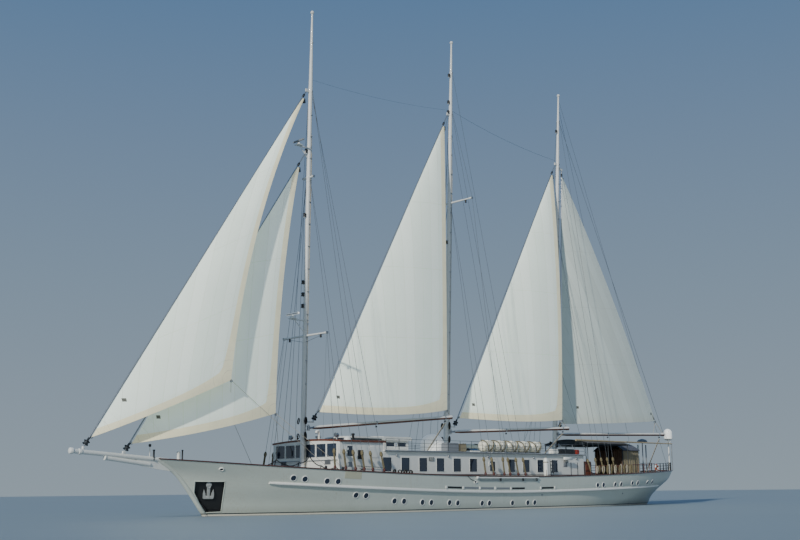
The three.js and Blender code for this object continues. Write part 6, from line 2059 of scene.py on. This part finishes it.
for side_name, side in SIGNS.items():
    grid = []
    for row in range(17):
        down = row / 16
        pinch = 1 - 0.35 * math.exp(-((down - 0.7) / 0.2) ** 2)
        line = []
        for column in range(61):
            t = column / 60
            ripple = 0.07 * pinch * math.sin(t * 2 * math.pi * CURTAIN_FOLDS)
            z = CURTAIN_TOP + (CURTAIN_LOW - CURTAIN_TOP) * down
            line.append((-22.42 + ripple, side * (1.55 - CURTAIN_WIDE * pinch * t), z))
        grid.append(line)
    curtain = piece(f"pavilion_curtain_{side_name}", Shape().add(cloth_sheet(grid), 0), "ship",
                    [brown_canvas], angle=60)
print("curtain cut", cut_of(grid))
print("canvas", [MADE[k] for k in ("awning_canvas", "pavilion_canvas_roof", "pavilion_canvas_walls")])

# %% [markdown]
# ## Ropes on the pin rail
# A rope that isn't in use is made up into a hank and hung on its pin. The hanks are all alike, so a
# Geometry Nodes group hangs one at each given point: three long loops swept from a squeezed circle, each
# hank turned and sized a little differently by a seeded random value.

# %% Hanks
def varied(group, low, high, seed):
    """A random vector for each point, between low and high on each axis."""
    return put(group, "FunctionNodeRandomValue", {"Min": low, "Max": high, "Seed": seed},
               data_type="FLOAT_VECTOR").outputs[0]


hanks, given = new_growth("rope_hanks", {"Height": FLOAT, "Width": FLOAT, "Rope Radius": FLOAT, "Seed": COUNT,
                                         "Finish": FINISH})
loop = grown(hanks, "CurvePrimitiveCircle", {"Radius": 1.0, "Resolution": 16})
squeezed = xyz(hanks, given["Width"], given["Height"], 1.0)
loops = []
for turn_at, lean in ((0.0, 0.0), (0.09, 0.5), (-0.08, -0.5)):
    ring = grown(hanks, "Transform", {"Geometry": loop, "Scale": squeezed})
    stood = grown(hanks, "Transform", {"Geometry": ring, "Rotation": (math.pi / 2, turn_at, lean)})
    loops.append(swept(hanks, stood, given["Rope Radius"], 5))
spots = grown(hanks, "MeshToPoints", {"Mesh": given["Geometry"]})
swing = varied(hanks, (-0.06, -0.12, -0.5), (0.06, 0.12, 0.5), given["Seed"])
size = varied(hanks, (0.8, 0.8, 0.75), (1.15, 1.15, 1.2), given["Seed"])
placed = grown(hanks, "InstanceOnPoints", {"Points": spots, "Instance": joined(hanks, *loops),
                                           "Rotation": swing, "Scale": size})
wire_up(hanks, placed, given["Finish"])


def hang(name, points, finish, seed, height=0.36, width=0.1, radius=0.03):
    values = {"Height": height * SHIP, "Width": width * SHIP, "Rope Radius": radius * SHIP, "Seed": seed,
              "Finish": finish}
    return grow(name, hanks, points, [], values, "ship")


def pin_points(start, end, count, lift):
    out = []
    for x in np.linspace(start, end, count):
        for side in (1, -1):
            out.append((x, side * (half_breadth(RAIL_LEVEL, x) - 0.05), sheer(x) + lift))
    return out


hang("hanks_tan", pin_points(-14.2, -19.4, 9, 0.42), tan_rope, 3)
hang("hanks_pale", pin_points(-13.9, -18.6, 6, 0.4), pale_rope, 7)
hang("hanks_fore", pin_points(8.7, 10.3, 4, 0.05), dark_rope, 11, 0.16, 0.14)
belts = []
for name, heights in {"fore": (5.5, 6.6), "main": (5.6, 6.7), "mizzen": (5.5,)}.items():
    for z in heights:
        for y in (-0.42, 0.42):
            spot = on_mast(name, z, 0.1, y)
            belts.append(tuple(spot))
hang("hanks_masts", belts, dark_rope, 17, 0.24, 0.09)
print("hanks", [MADE[k] for k in MADE if k.startswith("hanks")])

# %% Deck furniture aft and on the roofs
shape = Shape()
for side in (-1, 1):
    shape.add(block(-14.5, -13.65, side * 3.55 - 0.22, side * 3.55 + 0.22, 1.75, 3.88, 0.03), 0)
    for z in (2.4, 3.1):
        shape.add(block(-14.44, -13.71, side * 3.79 - 0.02, side * 3.79 + 0.02, z, z + 0.56, 0.02), 1)
    low = deck_z(-20, 3.2)
    shape.add(block(-21.6, -16.4, side * 2.9 - 0.25, side * 2.9 + 0.25, low, low + 0.42, 0.03), 0)
    shape.add(block(-21.55, -16.45, side * 2.9 - 0.22, side * 2.9 + 0.22, low + 0.42, low + 0.5, 0.03, 2), 2)
for k in range(6):
    x = -21.3 + 0.9 * k
    shape.add(block(x, x + 0.06, -1.4, 1.4, deck_z(x) + 0.7, deck_z(x) + 0.75, 0.01), 0)
shape.add(block(-21.4, -16.7, -0.75, 0.75, deck_z(-19) + 0.72, deck_z(-19) + 0.79, 0.02), 0)
for x in (-20.8, -17.3):
    shape.add(turned([(0.3, 0.0), (0.08, 0.06), (0.08, 0.74), (0.2, 0.76)], (x, 0, deck_z(x))), 3)
piece("after_deck_furniture", shape, "ship", [rail_timber, trim_timber, tan_canvas, steel],
      angle=40)
shape = Shape()
ROOF_BOXES = [(-12.97, -11.12, 2.45, 3.2, 2.8, 4.93, 0.04, 0), (-13.55, -13.1, 2.4, 3.3, 2.9, 4.9, 0.06, 1),
              (-10.35, -9.56, 3.0, 3.5, 3.2, 4.88, 0.05, 2), (1.81, 3.15, 2.55, 3.25, 2.9, 5.16, 0.05, 7),
              (0.94, 1.73, 2.55, 3.25, 2.9, 5.12, 0.05, 8)]
for x0, x1, y0, y1, low_y, top, edge, finish in ROOF_BOXES:
    shape.add(block(x0, x1, y0, y1, roof_z(low_y) - 0.02, top, edge, 3 if finish == 1 else 2), finish)
for x in (-3.2, -6.2, 8.9):
    shape.add(block(x - 0.6, x + 0.6, -0.55, 0.55, roof_z(0.4) - 0.03, 4.74, 0.03, 2), 2)
    for side in (-1, 1):
        shape.add(slab([(side * 0.5, 4.72), (side * 0.04, 4.94), (side * 0.04, 4.91), (side * 0.5, 4.69)], 1.0,
                       0, x), 3)
POLE_SIDE, POLE_HIGH = 2.42, 5.79
shape.add(tube([(-14.2, POLE_SIDE, POLE_HIGH), (-29.5, POLE_SIDE, 5.76)], [0.09, 0.05], 12), 4)
for x in (-15.95, -19.0, -22.0):
    shape.add(ring_band(0.05, 0.075, -0.06, 0.06, (x, POLE_SIDE, POLE_HIGH), (1, 0, 0), 12), 5)
    shape.add(tube([(x, POLE_SIDE, 5.76), (x, 2.4, 5.5)], 0.03, 8), 5)
shape.add(tube([(-29.4, POLE_SIDE, 5.78), (-29.4, POLE_SIDE, sheer(-29.4) - 0.02)], 0.045, 10), 5)
parasol = [(0.2, 0.0), (0.05, 0.06), (0.05, 3.75), (0.5, 3.76), (0.52, 3.82), (0.4, 3.96), (0.15, 4.05),
           (0.0, 4.07)]
shape.add(turned(parasol, (-27.43, 0.4, 2.2)), 7)
for x, finish, r in ((-26.7, 2, 0.1), (-28.0, 7, 0.06)):
    shape.add(tube([(x, 0.4, 2.2), (x, 0.4, 5.7)], r, 12), finish)
for x, y in ((15.9, 2.35), (-14.9, 1.6)):
    for side in (-1, 1):
        profile = [(0.2, 0.0), (0.2, 0.2), (0.14, 0.26), (0.13, 0.42), (0.19, 0.5), (0.15, 0.54), (0.0, 0.54)]
        shape.add(turned(profile, (x, side * y, deck_z(x, y)), sides=20), 5)
finishes = [black_paint, red_paint, house_paint, glass, tan_paint, steel, roof_paint, grey_paint, tan_canvas]
piece("roof_and_deck_gear", shape, "ship", finishes, angle=40)
print("deck gear", MADE["after_deck_furniture"], MADE["roof_and_deck_gear"])


def hose_y(x):
    return min(4.2, half_breadth(RAIL_LEVEL, x) - 0.3)


shape = Shape()
hose = [(20.34, 3.34), (19.76, 3.67), (19.11, 3.36), (18.12, 3.48), (17.34, 3.91), (16.44, 3.27), (15.3, 3.19),
        (14.62, 2.92), (13.3, 2.9), (12.92, 3.08), (11.6, 2.86)]
for (x0, z0), (x1, z1) in zip(hose, hose[1:]):
    hang_by = 0.16 if abs(x1 - x0) > 0.7 else 0.05
    shape.add(tube(sagging((x0, hose_y(x0), z0), (x1, hose_y(x1), z1), hang_by, 8), 0.035, 8), 0)
for x, z in hose[1:8:2]:
    low = half_breadth(DECK_LEVEL, x) - 0.45
    shape.add(tube([(x, low, deck_z(x, low)), (x, hose_y(x), z + 0.05)], 0.03, 8), 1)
piece("deck_hose", shape, "ship", [black_paint, dark_steel], angle=60)

# %% Life rings and mast winches
RING_AT, RING_RADIUS, RING_THICK = (-24.1, 4.12, 3.42), 0.28, 0.055
shape = Shape()
for side in (1, -1):
    spot, way = Vector((RING_AT[0], side * RING_AT[1], RING_AT[2])), Vector((-0.2, side, 0)).normalized()
    across = way.cross(Vector((0, 0, 1)))
    for part in range(8):
        turns = [math.pi * (part + step / 5) / 4 for step in range(6)]
        arc = [spot + (across * math.cos(t) + Vector((0, 0, math.sin(t)))) * RING_RADIUS for t in turns]
        shape.add(tube(arc, RING_THICK, 10), part % 2)
WINCH_DRUM = [(0.16, 0.0), (0.16, 0.08), (0.1, 0.12), (0.1, 0.24), (0.15, 0.3), (0.12, 0.34), (0.0, 0.34)]
for name, z in (("fore", 2.6), ("main", 2.75), ("mizzen", 5.4)):
    for side in (-1, 1):
        spot = on_mast(name, z, 0, side * mast_radius(name, z))
        shape.add(turned(WINCH_DRUM, spot, (0, side, 0), 20), 2)
piece("rings_and_winches", shape, "ship", [house_paint, ring_orange, steel], angle=50)

# %% [markdown]
# ## Propeller
# A cast bronze screw: four blades stand on a hub with a fairing cap. Each blade is lofted through sections
# that turn from a steep pitch at the root to a flat one at the tip, and its edges are thin.

# %% Propeller
SCREW = Vector((-23.53, 0, -2.8))
BLADE_ROOT, BLADE_LENGTH, BLADE_ROWS, BLADE_SIDES = 0.12, 0.83, 12, 16


def blade(turn_at):
    """One blade, turned round the shaft: oval sections from root to tip, closed at both ends."""
    rows = []
    for k in range(BLADE_ROWS + 1):
        r = BLADE_ROOT + BLADE_LENGTH * k / BLADE_ROWS
        wide = 0.26 * math.sqrt(max(0.02, 1 - ((r - 0.55) / 0.47) ** 2))
        pitch = math.atan2(0.42, r * 1.05)
        thick = 0.045 * (1.05 - r) + 0.006
        row = []
        for step in range(BLADE_SIDES + 1):
            angle = 2 * math.pi * step / BLADE_SIDES
            chord, deep = wide * math.cos(angle), thick * math.sin(angle)
            row.append((chord * math.sin(pitch) + deep * math.cos(pitch),
                        chord * math.cos(pitch) - deep * math.sin(pitch), r))
        rows.append(row)
    turn_to = Matrix.Rotation(turn_at, 3, "X")
    corners, faces = lofted(rows)
    faces.append([BLADE_ROWS * (BLADE_SIDES + 1) + k for k in range(BLADE_SIDES)][::-1])
    faces.append(list(range(BLADE_SIDES)))
    return [tuple(SCREW + turn_to @ Vector(c)) for c in corners], faces


shape = Shape()
shape.add(turned([(0.0, -0.42), (0.05, -0.4), (0.16, -0.22), (0.17, 0.0), (0.16, 0.26), (0.0, 0.27)], SCREW,
                 (1, 0, 0), 32))
for k in range(4):
    shape.add(blade(math.pi / 2 * k + math.pi / 4))
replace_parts(piece("bronze_screw", shape, "propeller", [bronze], angle=40), "propeller")
print("screw", MADE["bronze_screw"])

# %% [markdown]
# ## Pieces and faces
# The number of pieces made here and the sum of their faces are printed.

# %% Pieces and faces
print("pieces", len(MADE), "faces", sum(MADE.values()))
